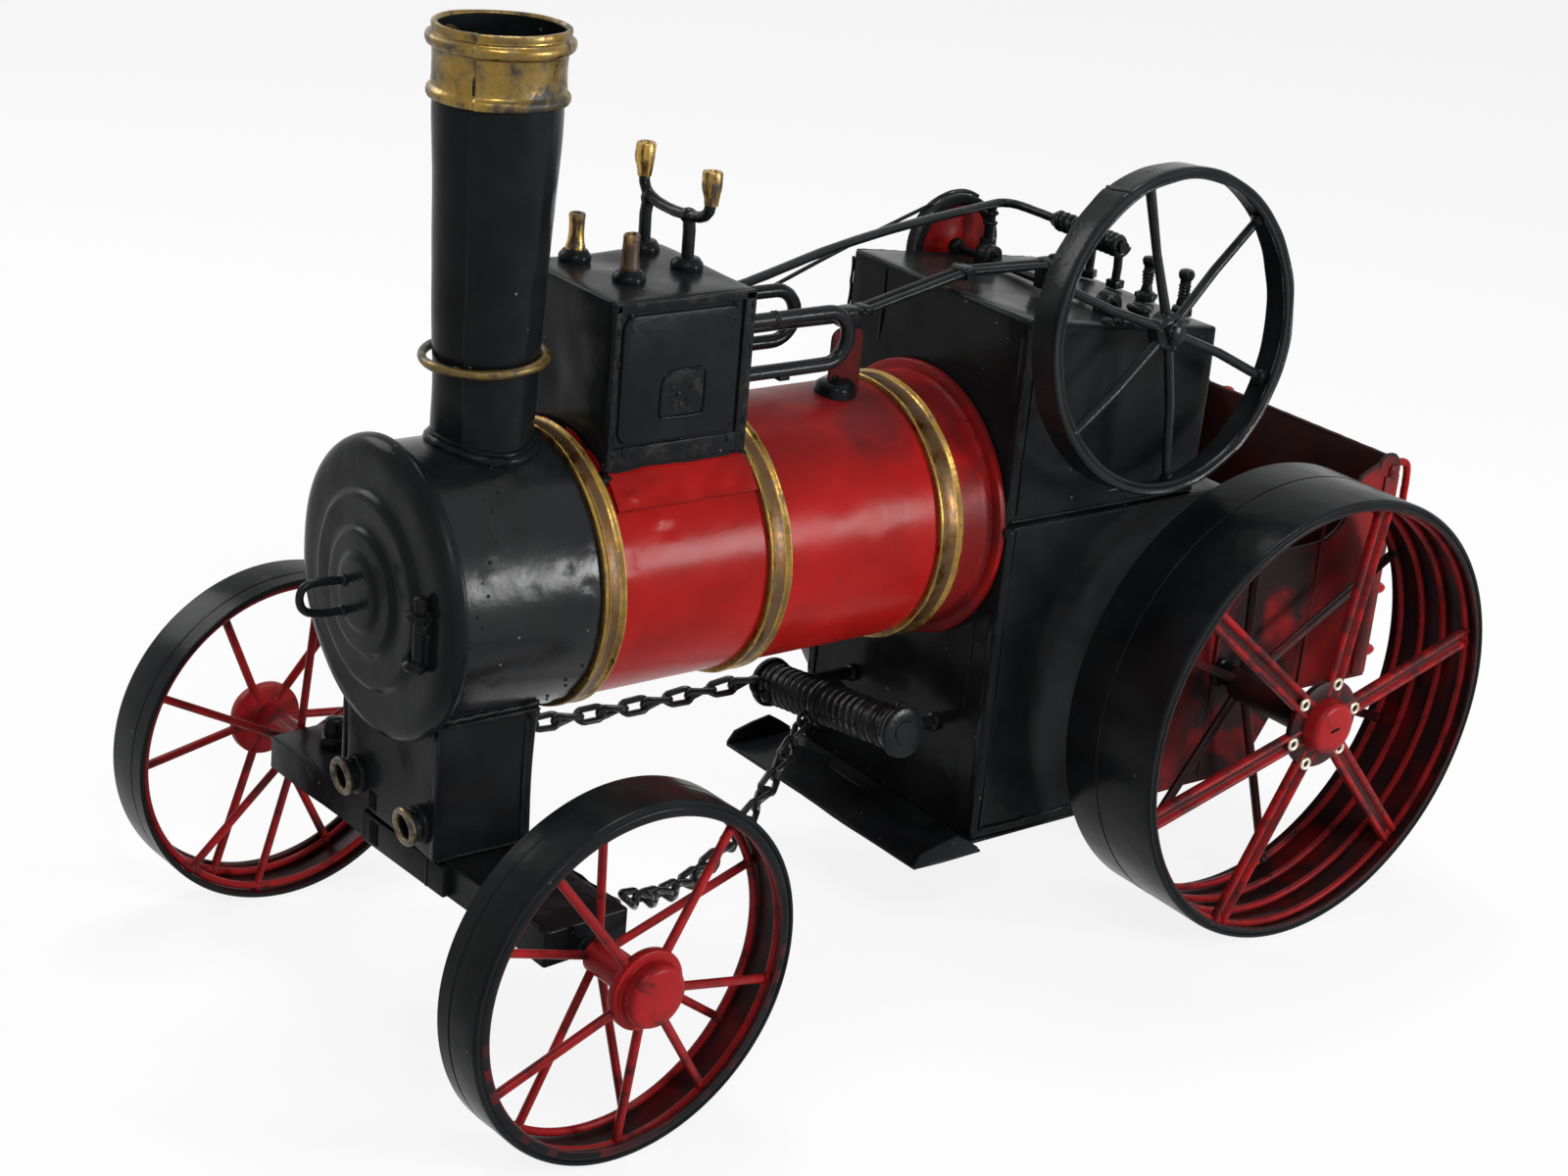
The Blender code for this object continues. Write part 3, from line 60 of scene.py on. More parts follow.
shot = {
    "place": (0.49104, -0.41326, 0.33867),
    "right": (0.59288, 0.80051, 0.08759),
    "up": (-0.34564, 0.15471, 0.92553),
    "ahead": (-0.72734, 0.57900, -0.36841),
    "lens": 63.45,
    "lamps": (
        ("keyLamp", (0.80, -0.40, 0.90), 0.30, 4.8),
        ("rightLamp", (1.05, 0.64, 0.32), 0.31, 12.0),
        ("topLamp", (-0.25, 0.15, 1.10), 0.36, 5.5),
        ("backLamp", (-0.80, -0.35, 0.60), 0.40, 2.5),
    ),
}


def aimedAt(place, target):
    turn = (Vector(target) - Vector(place)).to_track_quat("-Z", "Y")
    return Matrix.Translation(place) @ turn.to_matrix().to_4x4()


def makeCamera():
    camera = bpy.data.objects.new("photoCamera", bpy.data.cameras.new("photoCamera"))
    bpy.context.scene.collection.objects.link(camera)
    right, up, ahead, place = (Vector(shot[key]) for key in ("right", "up", "ahead", "place"))
    camera.matrix_world = Matrix((
        (right.x, up.x, -ahead.x, place.x),
        (right.y, up.y, -ahead.y, place.y),
        (right.z, up.z, -ahead.z, place.z),
        (0, 0, 0, 1)))
    camera.data.lens = shot["lens"]
    camera.data.sensor_width = 36
    camera.data.clip_start = 0.01
    bpy.context.scene.camera = camera


def makeLamps():
    for name, place, size, power in shot["lamps"]:
        lamp = bpy.data.lights.new(name, "AREA")
        lamp.size = size
        lamp.energy = power
        holder = bpy.data.objects.new(name, lamp)
        bpy.context.scene.collection.objects.link(holder)
        holder.matrix_world = aimedAt(place, (0, 0, 0.09))


# nodes of a material

class Value:
    def __init__(self, finish, socket):
        self.finish = finish
        self.socket = socket

    def mathNode(self, operation, *others):
        return self.finish.node("ShaderNodeMath", {"operation": operation}, [self, *others])

    def __add__(self, other):
        return self.mathNode("ADD", other)

    def __radd__(self, other):
        return self.mathNode("ADD", other)

    def __sub__(self, other):
        return self.mathNode("SUBTRACT", other)

    def __rsub__(self, other):
        return self.finish.node("ShaderNodeMath", {"operation": "SUBTRACT"}, [other, self])

    def __mul__(self, other):
        return self.mathNode("MULTIPLY", other)

    def __rmul__(self, other):
        return self.mathNode("MULTIPLY", other)

    def __pow__(self, other):
        return self.mathNode("POWER", other)

    def above(self, low, high):
        # 0 below low, 1 above high
        settings = {"clamp": True}
        return self.finish.node("ShaderNodeMapRange", settings,
                                {"Value": self, "From Min": low, "From Max": high})

    def largest(self, other):
        return self.mathNode("MAXIMUM", other)


class Finish:
    def __init__(self, name):
        self.material = bpy.data.materials.new(name)
        self.material.use_nodes = True
        self.tree = self.material.node_tree
        self.shader = self.tree.nodes["Principled BSDF"]
        self.place = self.node("ShaderNodeTexCoord", output="Object")

    def put(self, value, socket):
        if isinstance(value, Value):
            self.tree.links.new(value.socket, socket)
        elif socket.type == "RGBA" and len(value) == 3:
            socket.default_value = (*value, 1.0)
        else:
            socket.default_value = value

    def node(self, kind, settings=None, sockets=None, output=0):
        made = self.tree.nodes.new(kind)
        for key, value in (settings or {}).items():
            setattr(made, key, value)
        if isinstance(sockets, dict):
            pairs = [(value, made.inputs[key]) for key, value in sockets.items()]
        else:
            pairs = [(value, made.inputs[i]) for i, value in enumerate(sockets or [])]
        for value, socket in pairs:
            self.put(value, socket)
        return Value(self, made.outputs[output])

    def set(self, **values):
        names = {"colour": "Base Color", "roughness": "Roughness", "metallic": "Metallic", "normal": "Normal",
                 "specular": "Specular IOR Level"}
        for key, value in values.items():
            self.put(value, self.shader.inputs[names[key]])
        return self.material

    def stretched(self, scale):
        return self.node("ShaderNodeMapping", {}, {"Vector": self.place, "Scale": scale})

    def cloud(self, scale, detail=3.0, rough=0.5, where=None, warp=0.0):
        # a soft pattern, scale in blots per metre
        return self.node("ShaderNodeTexNoise", {}, {
            "Vector": where or self.place, "Scale": scale, "Detail": detail, "Roughness": rough,
            "Distortion": warp})

    def spots(self, scale, size, where=None):
        # 1 inside small round spots, a few of the cells only
        cells = self.node("ShaderNodeTexVoronoi", {}, {"Vector": where or self.place, "Scale": scale},
                          output="Distance")
        chosen = self.cloud(scale * 0.37, 2.0)
        return (1 - cells.above(size * 0.5, size)) * chosen.above(0.60, 0.66)

    def within(self, low, high, edge):
        # 1 inside a box given in metres, falling to 0 over the edge
        split = self.tree.nodes.new("ShaderNodeSeparateXYZ")
        self.put(self.place, split.inputs[0])
        inside = None
        for way in range(3):
            value = Value(self, split.outputs[way])
            part = value.above(low[way] - edge, low[way]) * (1 - value.above(high[way], high[way] + edge))
            inside = part if inside is None else inside * part
        return inside

    def mixed(self, share, first, second):
        made = self.tree.nodes.new("ShaderNodeMix")
        made.data_type = "RGBA"
        for value, name in ((share, "Factor_Float"), (first, "A_Color"), (second, "B_Color")):
            socket = [s for s in made.inputs if s.identifier == name][0]
            self.put(value, socket)
        return Value(self, [s for s in made.outputs if s.identifier == "Result_Color"][0])

    def bumps(self, *layers):
        # each layer is a height with its depth in metres
        normal = None
        for height, depth in layers:
            sockets = {"Height": height, "Distance": depth, "Strength": 1.0}
            if normal:
                sockets["Normal"] = normal
            normal = self.node("ShaderNodeBump", {}, sockets)
        return normal

    def edges(self):
        # 1 on outward edges of dense meshes
        return self.node("ShaderNodeNewGeometry", output="Pointiness")


def makeBlackEnamel(name, look):
    paint = Finish(name)
    blots = paint.cloud(55, 4, 0.6)
    fine = paint.cloud(1400, 2, 0.6)
    dust = paint.spots(260, 0.10)
    grime = paint.cloud(26, 5, 0.65, warp=0.4).above(0.48, 0.75)
    wear = paint.edges().above(0.55, 0.64) * paint.cloud(240, 4, 0.7).above(0.50, 0.64)
    colour = paint.mixed(blots.above(0.35, 0.7), look["dark"], look["light"])
    colour = paint.mixed(grime * 0.25, colour, look["grime"])
    colour = paint.mixed(wear * 0.4, colour, look["wear"])
    colour = paint.mixed(dust * look["dust"], colour, (0.42, 0.39, 0.34))
    roughness = look["roughness"] + blots.above(0.3, 0.75) * 0.11 + grime * 0.08 + fine * 0.04 - 0.02
    dents = paint.cloud(48, 2, 0.4)
    peel = paint.cloud(620, 2, 0.5)
    normal = paint.bumps((dents, look["wave"]), (peel, look["peel"]), (dust, 0.00006))
    return paint.set(colour=colour, roughness=roughness, normal=normal, specular=look["shine"])


def makeRedEnamel(name, look):
    paint = Finish(name)
    blots = paint.cloud(42, 4, 0.6)
    # darkening clouds: soot and black overspray on most pieces, and painted shade where a look lets them
    # cover most of the piece; the given boxes add patches of painted shade in creases and behind parts
    sootAndShade = paint.cloud(look["sootAndShadeScale"], 5, 0.62, warp=0.6)
    sootyAndShaded = sootAndShade.above(look["sootAndShadeFrom"], look["sootAndShadeTo"])
    for low, high, share in look.get("paintedShadePlaces", ()):
        sootyAndShaded = sootyAndShaded.largest(paint.within(low, high, 0.012) * sootAndShade.above(0.36, 0.54) * share)
    chips = paint.cloud(420, 3, 0.7).above(0.70, 0.74)
    wear = paint.edges().above(0.53, 0.60) * paint.cloud(190, 4, 0.7).above(0.42, 0.60)
    colour = paint.mixed(blots.above(0.3, 0.75), look["deep"], look["bright"])
    colour = paint.mixed(sootyAndShaded * look["sootAndShade"], colour, (0.016, 0.008, 0.009))
    colour = paint.mixed((wear * 0.8).largest(chips * look["chips"]), colour, (0.020, 0.012, 0.012))
    roughness = look["roughness"] + blots.above(0.3, 0.75) * 0.12 + sootyAndShaded * 0.08
    dents = paint.cloud(48, 2, 0.4)
    peel = paint.cloud(540, 2, 0.5)
    normal = paint.bumps((dents, look["wave"]), (peel, 0.00003))
    return paint.set(colour=colour, roughness=roughness, normal=normal, specular=look["shine"])


def makeBrass(name, look):
    metal = Finish(name)
    streaks = metal.cloud(300, 4, 0.65, where=metal.stretched(look["stretch"]), warp=0.3)
    stain = metal.cloud(look["blots"], 5, 0.7, warp=0.8)
    dirty = (streaks * 0.45 + stain * 0.55).above(look["dirtFrom"], look["dirtTo"])
    colour = metal.mixed(streaks.above(0.35, 0.7), look["gold"], look["pale"])
    colour = metal.mixed(dirty, colour, look["patina"])
    normal = metal.bumps((streaks, 0.00010), (metal.cloud(700, 2, 0.5), 0.00003))
    return metal.set(colour=colour, roughness=0.22 + dirty * 0.25 + streaks * 0.08, metallic=1 - dirty * 0.75,
                     normal=normal)


def makePlain(name, colour, roughness, metallic, second, shine=0.5):
    plain = Finish(name)
    blots = plain.cloud(300, 4, 0.65)
    tone = plain.mixed(blots.above(0.4, 0.65), colour, second)
    return plain.set(colour=tone, roughness=roughness + blots * 0.15, metallic=metallic, specular=shine,
                     normal=plain.bumps((plain.cloud(900, 3, 0.6), 0.00004)))


enamelLook = {"dark": (0.0060, 0.0066, 0.0074), "light": (0.0110, 0.0119, 0.0130),
              "grime": (0.0120, 0.0112, 0.0095), "wear": (0.045, 0.042, 0.038), "dust": 0.35,
              "roughness": 0.17, "wave": 0.0008, "peel": 0.00004, "shine": 0.055}
wireLook = dict(enamelLook, roughness=0.18, wave=0.0004, peel=0.00008, dust=0.2, shine=0.10)
roundLook = dict(enamelLook, roughness=0.16, wave=0.0004, shine=0.17)
chainLook = dict(wireLook, wear=(0.16, 0.13, 0.10), shine=0.22, roughness=0.24)
# the barrel's boxes are painted shade: across the top from behind the steam chest to the upper box, round the
# rear flange where the barrel meets the boxes behind it, and a short strip across the top
barrelLook = {"shine": 0.07, "deep": (0.215, 0.0060, 0.0052), "bright": (0.340, 0.0085, 0.0075),
              "sootAndShadeScale": 26, "sootAndShadeFrom": 0.60, "sootAndShadeTo": 0.80, "sootAndShade": 0.45, "chips": 0.5,
              "roughness": 0.20, "wave": 0.0004, "paintedShadePlaces": (((-0.03, -0.050, 0.134), (0.03, 0.02, 0.16),
                                                                 1.0), ((-0.05, 0.007, 0.05),
                                                                        (0.05, 0.02, 0.16), 1.3),
                                                                ((-0.02, -0.020, 0.132), (0.02, -0.008, 0.16),
                                                                 1.6))}
wheelLook = {"shine": 0.08, "deep": (0.190, 0.0070, 0.0085), "bright": (0.330, 0.0115, 0.0130),
             "sootAndShadeScale": 120, "sootAndShadeFrom": 0.52, "sootAndShadeTo": 0.66, "sootAndShade": 0.80, "chips": 0.8,
             "roughness": 0.26, "wave": 0.0004}
# the tub's box is painted shade on its near side round the rear axle, behind the near rear wheel
tubLook = {"shine": 0.09, "deep": (0.130, 0.0060, 0.0065), "bright": (0.260, 0.0090, 0.0090), "sootAndShadeScale": 40,
           "sootAndShadeFrom": 0.42, "sootAndShadeTo": 0.68, "sootAndShade": 0.80, "chips": 0.8, "roughness": 0.34, "wave": 0.0010,
           "paintedShadePlaces": (((0.03, 0.090, 0.03), (0.05, 0.125, 0.095), 1.3),)}
# a much darker copy of the wheel red: black overspray and painted shade inside the rims, and painted shade on
# the spoke grooves, the inner spokes and the hub flanges
oversprayAndShadeLook = dict(wheelLook, deep=(0.022, 0.0040, 0.0050), bright=(0.150, 0.0060, 0.0080), sootAndShadeScale=70,
               sootAndShadeFrom=0.33, sootAndShadeTo=0.52, sootAndShade=0.92)
insideLook = dict(tubLook, deep=(0.016, 0.0050, 0.0046), bright=(0.042, 0.0070, 0.0064), sootAndShade=0.85)
brassLook = {"gold": (0.20, 0.120, 0.026), "pale": (0.36, 0.245, 0.072), "patina": (0.013, 0.009, 0.0045),
             "dirtFrom": 0.42, "dirtTo": 0.58, "stretch": (1, 1, 1), "blots": 60}
studLook = dict(brassLook, gold=(0.34, 0.19, 0.040), pale=(0.58, 0.40, 0.13), patina=(0.030, 0.014, 0.006),
                dirtFrom=0.44, dirtTo=0.54, stretch=(2.2, 2.2, 0.5))
wornLook = dict(brassLook, gold=(0.16, 0.12, 0.060), pale=(0.30, 0.25, 0.15), patina=(0.010, 0.009, 0.008),
                dirtFrom=0.38, dirtTo=0.50)
bandLook = dict(brassLook, gold=(0.26, 0.150, 0.030), pale=(0.46, 0.290, 0.075), patina=(0.040, 0.020, 0.007),
                dirtFrom=0.44, dirtTo=0.66, blots=130)

blackEnamel = makeBlackEnamel("blackEnamel", enamelLook)
blackWire = makeBlackEnamel("blackWire", wireLook)
roundEnamel = makeBlackEnamel("roundEnamel", roundLook)
barrelRed = makeRedEnamel("barrelRed", barrelLook)
wheelRed = makeRedEnamel("wheelRed", wheelLook)
tubRed = makeRedEnamel("tubRed", tubLook)
oversprayAndShadeRed = makeRedEnamel("oversprayAndShadeRed", oversprayAndShadeLook)
tubInside = makeRedEnamel("tubInside", insideLook)
chainMetal = makeBlackEnamel("chainMetal", chainLook)
antiqueBrass = makeBrass("antiqueBrass", brassLook)
bandBrass = makeBrass("bandBrass", bandLook)
grooveBrass = makeBrass("grooveBrass", dict(bandLook, gold=(0.11, 0.048, 0.014), pale=(0.20, 0.105, 0.030),
                                            dirtFrom=0.34, dirtTo=0.62))
darkBrass = makeBrass("darkBrass", dict(brassLook, dirtFrom=0.36, dirtTo=0.56))
studBrass = makeBrass("studBrass", studLook)
wornEdge = makeBrass("wornEdge", wornLook)
eyeletMetal = makePlain("eyeletMetal", (0.72, 0.66, 0.54), 0.32, 0.65, (0.40, 0.33, 0.22))
# a near-black finish of painted shade for holes, slots and notches that are not cut
paintedHoleShade = makePlain("paintedHoleShade", (0.003, 0.003, 0.003), 0.6, 0.0, (0.005, 0.0045, 0.004), 0.03)
print("materials done")

slotFinish = {"black_enamel": blackEnamel, "red_enamel": barrelRed, "wheel_red": wheelRed,
              "antique_brass": antiqueBrass, "black_wire": blackWire}
for row in frame["record"]["subparts"]:
    carried = nodes[row["node"]]
    finish = slotFinish[row["material_slot"]]
    if row["node"].startswith("tender"):
        finish = tubRed
    if not carried.data.materials:
        carried.data.materials.append(finish)
    for number in range(len(carried.material_slots)):
        carried.material_slots[number].material = finish


# shapes, with every length given in mm

axisTurn = {
    "X": Matrix.Rotation(math.radians(90), 4, "Y"),
    "Y": Matrix.Rotation(math.radians(-90), 4, "X"),
    "Z": Matrix.Identity(4),
}


def moved(place):
    return Matrix.Translation(Vector(place) * mm)


def along(axis, centre=(0, 0, 0)):
    return moved(centre) @ axisTurn[axis]


def sideways(x):
    # carries a section drawn in XY into the YZ plane, its length along X from x
    return Matrix(((0, 0, 1, x * mm), (1, 0, 0, 0), (0, 1, 0, 0), (0, 0, 0, 1)))


def radial(angle, radius, x):
    # a point of the YZ plane at x, the angle in degrees
    turn = math.radians(angle)
    return Vector((x, radius * math.cos(turn), radius * math.sin(turn)))


def boxOf(node):
    low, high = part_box(node)
    return low / mm, high / mm


def middleOf(low, high):
    return (low + high) / 2


def arcPairs(across, up, radius, angles):
    return [(across + radius * math.cos(math.radians(a)), up + radius * math.sin(math.radians(a)))
            for a in angles]


def rounded(part, edges, offset, segments):
    bmesh.ops.bevel(part, geom=list(edges), offset=offset * mm, segments=segments, profile=0.5,
                    affect="EDGES", material=-1)


def join(whole, part, place=None, finish=0, dist=0.000008):
    # corners nearer than dist, in metres, are merged; finish None keeps the part's own
    bmesh.ops.remove_doubles(part, verts=part.verts, dist=dist)
    if place is not None:
        bmesh.ops.transform(part, matrix=place, verts=part.verts)
    bmesh.ops.recalc_face_normals(part, faces=part.faces)
    for face in part.faces:
        face.smooth = True
        if finish is not None:
            face.material_index = finish
    mesh = bpy.data.meshes.new("part")
    part.to_mesh(mesh)
    part.free()
    whole.from_mesh(mesh)
    bpy.data.meshes.remove(mesh)


def turned(profile, steps=96, closed=False, side=1):
    # the profile is (distance from the axis, place on the axis), the axis is Z, side -1 mirrors it
    part = bmesh.new()
    verts = [part.verts.new((distance * mm, 0, place * side * mm)) for distance, place in profile]
    edges = [part.edges.new(pair) for pair in zip(verts, verts[1:])]
    if closed:
        edges.append(part.edges.new((verts[-1], verts[0])))
    bmesh.ops.spin(part, geom=verts + edges, cent=(0, 0, 0), axis=(0, 0, 1), angle=math.tau, steps=steps,
                   use_merge=True)
    return part


def hoop(radius, thickness, steps=96, sides=12):
    circle = [(radius + thickness * math.cos(math.tau * i / sides),
               thickness * math.sin(math.tau * i / sides)) for i in range(sides)]
    return turned(circle, steps, closed=True)


def bar(start, end, radius, sides):
    start, end = Vector(start) * mm, Vector(end) * mm
    part = bmesh.new()
    turn = (end - start).to_track_quat("Z", "Y").to_matrix().to_4x4()
    bmesh.ops.create_cone(part, cap_ends=True, segments=sides, radius1=radius * mm, radius2=radius * mm,
                          depth=(end - start).length, matrix=Matrix.Translation((start + end) / 2) @ turn)
    return part


def block(size, centre, edge, segments=3):
    part = bmesh.new()
    bmesh.ops.create_cube(part, size=1.0)
    bmesh.ops.scale(part, vec=Vector(size) * mm, verts=part.verts)
    if edge:
        rounded(part, part.edges, edge, segments)
    bmesh.ops.translate(part, vec=Vector(centre) * mm, verts=part.verts)
    return part


def addStrips(whole, boxes, edge=0.12, segments=2):
    # a block for each pair of opposite corners
    for low, high in boxes:
        size = [b - a for a, b in zip(low, high)]
        join(whole, block(size, [(a + b) / 2 for a, b in zip(low, high)], edge, segments))


def edgesAlongX(part):
    return [e for e in part.edges if abs((e.verts[0].co - e.verts[1].co).normalized().x) > 0.9]


def extruded(section, length):
    # a flat section in XY drawn out along Z
    part = bmesh.new()
    face = part.faces.new([part.verts.new((x * mm, y * mm, 0)) for x, y in section])
    drawn = bmesh.ops.extrude_face_region(part, geom=[face])
    bmesh.ops.translate(part, vec=(0, 0, length * mm),
                        verts=[v for v in drawn["geom"] if isinstance(v, bmesh.types.BMVert)])
    return part


def softened(points, rounds=2):
    line = [Vector(point) for point in points]
    for _ in range(rounds):
        cut = [line[0]]
        for a, b in zip(line, line[1:]):
            cut += [a.lerp(b, 0.25), a.lerp(b, 0.75)]
        line = cut + [line[-1]]
    return line


def bentRod(points, radius, sides=12, closed=False, uneven=0.0):
    # a wire along the points, a ring drawn on from each to the next
    line = [Vector(point) * mm for point in points]
    count = len(line)
    part = bmesh.new()
    places = []
    across = None
    for i in range(count):
        ahead = line[(i + 1) % count] if closed or i < count - 1 else line[i]
        behind = line[i - 1] if closed or i > 0 else line[i]
        direction = (ahead - behind).normalized()
        if across is None:
            across = direction.orthogonal().normalized()
        across = (across - direction * across.dot(direction)).normalized()
        up = direction.cross(across)
        place = Matrix((across, up, direction)).transposed().to_4x4()
        place.translation = line[i]
        places.append(place)
    start = bmesh.ops.create_circle(part, segments=sides, radius=radius * mm, matrix=places[0])
    ring = list({edge for vert in start["verts"] for edge in vert.link_edges})
    firstRing = list(ring)
    for i in range(1, count):
        drawn = bmesh.ops.extrude_edge_only(part, edges=ring)
        verts = [v for v in drawn["geom"] if isinstance(v, bmesh.types.BMVert)]
        ring = [e for e in drawn["geom"] if isinstance(e, bmesh.types.BMEdge)]
        bmesh.ops.transform(part, matrix=places[i] @ places[i - 1].inverted(), verts=verts)
    if closed:
        bmesh.ops.bridge_loops(part, edges=ring + firstRing)
    else:
        bmesh.ops.holes_fill(part, edges=ring + firstRing, sides=0)
    if uneven:
        for vert in part.verts:
            vert.co += noise.noise_vector(vert.co * 900) * uneven * mm
    return part


def arcPoints(centre, radius, start, end, count):
    # an arc in the YZ plane
    return [Vector(centre) + radial(start + (end - start) * i / count, radius, 0) for i in range(count + 1)]


def winding(start, end, radius, turns, perTurn=16):
    # points of a coil round the line from start to end
    start, end = Vector(start), Vector(end)
    turn = (end - start).to_track_quat("Z", "Y").to_matrix()
    count = turns * perTurn
    points = []
    for i in range(count + 1):
        angle = math.tau * i / perTurn
        points.append(start.lerp(end, i / count) + turn
                      @ Vector((radius * math.cos(angle), radius * math.sin(angle), 0)))
    return points


def blob(centre, radius, flat=(1, 1, 1), rough=0.25, level=2):
    # a lump of solder
    centre, radius = Vector(centre) * mm, radius * mm
    part = bmesh.new()
    bmesh.ops.create_icosphere(part, subdivisions=level, radius=radius)
    for vert in part.verts:
        vert.co *= 1 + rough * noise.noise(vert.co / radius * 1.3 + centre * 977)
    bmesh.ops.scale(part, vec=flat, verts=part.verts)
    bmesh.ops.translate(part, vec=centre, verts=part.verts)
    return part


def handMade(whole, depth, scale, seed=0.0):
    # the slow waves of hand-worked sheet, depth in mm and scale in waves per metre
    whole.normal_update()
    shift = Vector((seed, seed * 1.7, seed * 2.3))
    moves = [(vert, vert.normal * noise.noise(vert.co * scale + shift) * depth * mm) for vert in whole.verts]
    for vert, move in moves:
        vert.co += move


def makePiece(name, whole, finishes, body, stands, sharp=35):
    # body is None where the caller bakes the piece's place into its mesh
    mesh = bpy.data.meshes.new(name)
    whole.to_mesh(mesh)
    whole.free()
    for finish in finishes:
        mesh.materials.append(finish)
    mesh.set_sharp_from_angle(angle=math.radians(sharp))
    piece = bpy.data.objects.new(name, mesh)
    bpy.context.scene.collection.objects.link(piece)
    if body:
        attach(piece, body)
    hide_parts(*stands)
    return piece


# wheels

steer = {"turn": 3.7, "place": (0, -116.7, 0)}
steerPlace = moved(steer["place"]) @ Matrix.Rotation(math.radians(steer["turn"]), 4, "Z")

frontWheel = {
    "away": 70.0, "radius": 42.5, "half": 7.0, "sheet": 1.2, "lip": 3.8, "ringWire": 0.95, "ringRadius": 40.1,
    "rings": (4.0, -4.5), "outerX": 8.2, "innerX": -8.0, "spoke": 1.08, "innerSpoke": 1.0,
    "near": ((126, 52, -16, -57, -92, -154), (96, 21, -36, -80, -123, 160)),
    "far": ((114, 54, -6, -66, -114, -174), (153, 80, 20, -40, -103, -133)),
}
rearWheel = {
    "away": 58.2, "back": 97.5, "radius": 60.0, "half": 15.4, "sheet": 1.2, "lip": 2.8, "ringWire": 0.95,
    "ringRadius": 57.6, "rings": (11.2, 3.6, -3.8, -11.2),
    "outer": (140, 76, 13, -47, -114, -162), "inner": (154, 96, 31, -20, -73, -129),
}


def rimProfile(look, seam):
    r, h, s, lip = look["radius"], look["half"], look["sheet"], look["lip"]
    return [(r - s, -h), (r - 0.3, -h), (r, -h + 0.3), (r, seam - 0.35), (r - 0.28, seam - 0.10),
            (r - 0.30, seam + 0.05), (r - 0.05, seam + 0.25), (r, h - 1.0), (r - 0.08, h - 0.45),
            (r - 0.35, h - 0.10), (r - 0.7, h), (r - 1.05, h - 0.10), (r - 1.2, h - 0.38),
            (r - 1.4, h - 0.34), (r - 1.6, h - 0.10), (r - 1.9, h), (r - lip + 0.5, h),
            (r - lip + 0.12, h - 0.15), (r - lip, h - 0.5), (r - lip + 0.12, h - 0.95),
            (r - lip + 0.5, h - 1.1), (r - s - 0.3, h - 1.15), (r - s, h - 1.5)]


def makeRim(name, look, seam, place, side, body, node):
    whole = bmesh.new()
    join(whole, turned(rimProfile(look, seam), 160, closed=True, side=side), along("X"))
    inner = look["radius"] - look["sheet"]
    for face in whole.faces:
        middle = face.calc_center_median() / mm
        reach = math.hypot(middle.y, middle.z)
        facesIn = face.normal.dot(Vector((0, middle.y, middle.z))) < 0
        # the rim's inner faces take the darker red: black overspray with painted shade
        if (reach < inner - 0.1 and abs(middle.x) < look["half"] - 1.0) or (facesIn and reach < inner + 0.05):
            face.material_index = 1
    handMade(whole, 0.18, 38, seed=look["radius"] * side)
    bmesh.ops.transform(whole, matrix=place, verts=whole.verts)
    return makePiece(name, whole, (blackEnamel, oversprayAndShadeRed), body, (node,))


def makeFrontSpokes(name, place, side, outerAngles, innerAngles, body, node):
    look = frontWheel
    whole = bmesh.new()
    for x in look["rings"]:
        join(whole, hoop(look["ringRadius"], look["ringWire"], 120, 10), along("X", (side * x, 0, 0)))
    ringR = look["ringRadius"]
    for angles, hubX, ringX, thick in ((outerAngles, look["outerX"], look["rings"][0], look["spoke"]),
                                       (innerAngles, look["innerX"], look["rings"][1], look["innerSpoke"])):
        for angle in angles:
            inner = radial(angle, 3.4, hubX * side)
            outer = radial(angle, ringR, ringX * side)
            join(whole, bentRod([inner, inner.lerp(outer, 0.3), inner.lerp(outer, 0.7), outer], thick, 12,
                                uneven=0.06))
            join(whole, blob(outer, thick * 1.5, (0.9, 1, 1)))
    hub = [(0, 13.4), (5.5, 13.4), (6.3, 13.3), (6.95, 12.95), (7.3, 12.4), (7.42, 11.7), (7.42, 9.7),
           (7.6, 9.45), (8.9, 9.4), (9.25, 9.25), (9.4, 8.95), (9.4, 7.5), (9.25, 7.15), (8.9, 7.0),
           (4.3, 7.0), (4.0, 6.7), (4.0, -8.6), (3.7, -9.0), (2.3, -9.0), (2.3, 10.8), (0, 10.8)]
    join(whole, turned(hub, 64, side=side), along("X"))
    bmesh.ops.transform(whole, matrix=place, verts=whole.verts)
    return makePiece(name, whole, (wheelRed,), body, (node,))


spokeSection = [(-2.7, -0.4), (2.7, -0.4), (2.75, 0.5), (2.55, 1.15), (2.15, 1.5), (1.75, 1.55), (1.3, 1.35),
                (0.95, 0.9), (0.7, 0.42), (0.3, 0.25), (-0.3, 0.25), (-0.7, 0.42), (-0.95, 0.9), (-1.3, 1.35),
                (-1.75, 1.55), (-2.15, 1.5), (-2.55, 1.15), (-2.75, 0.5)]


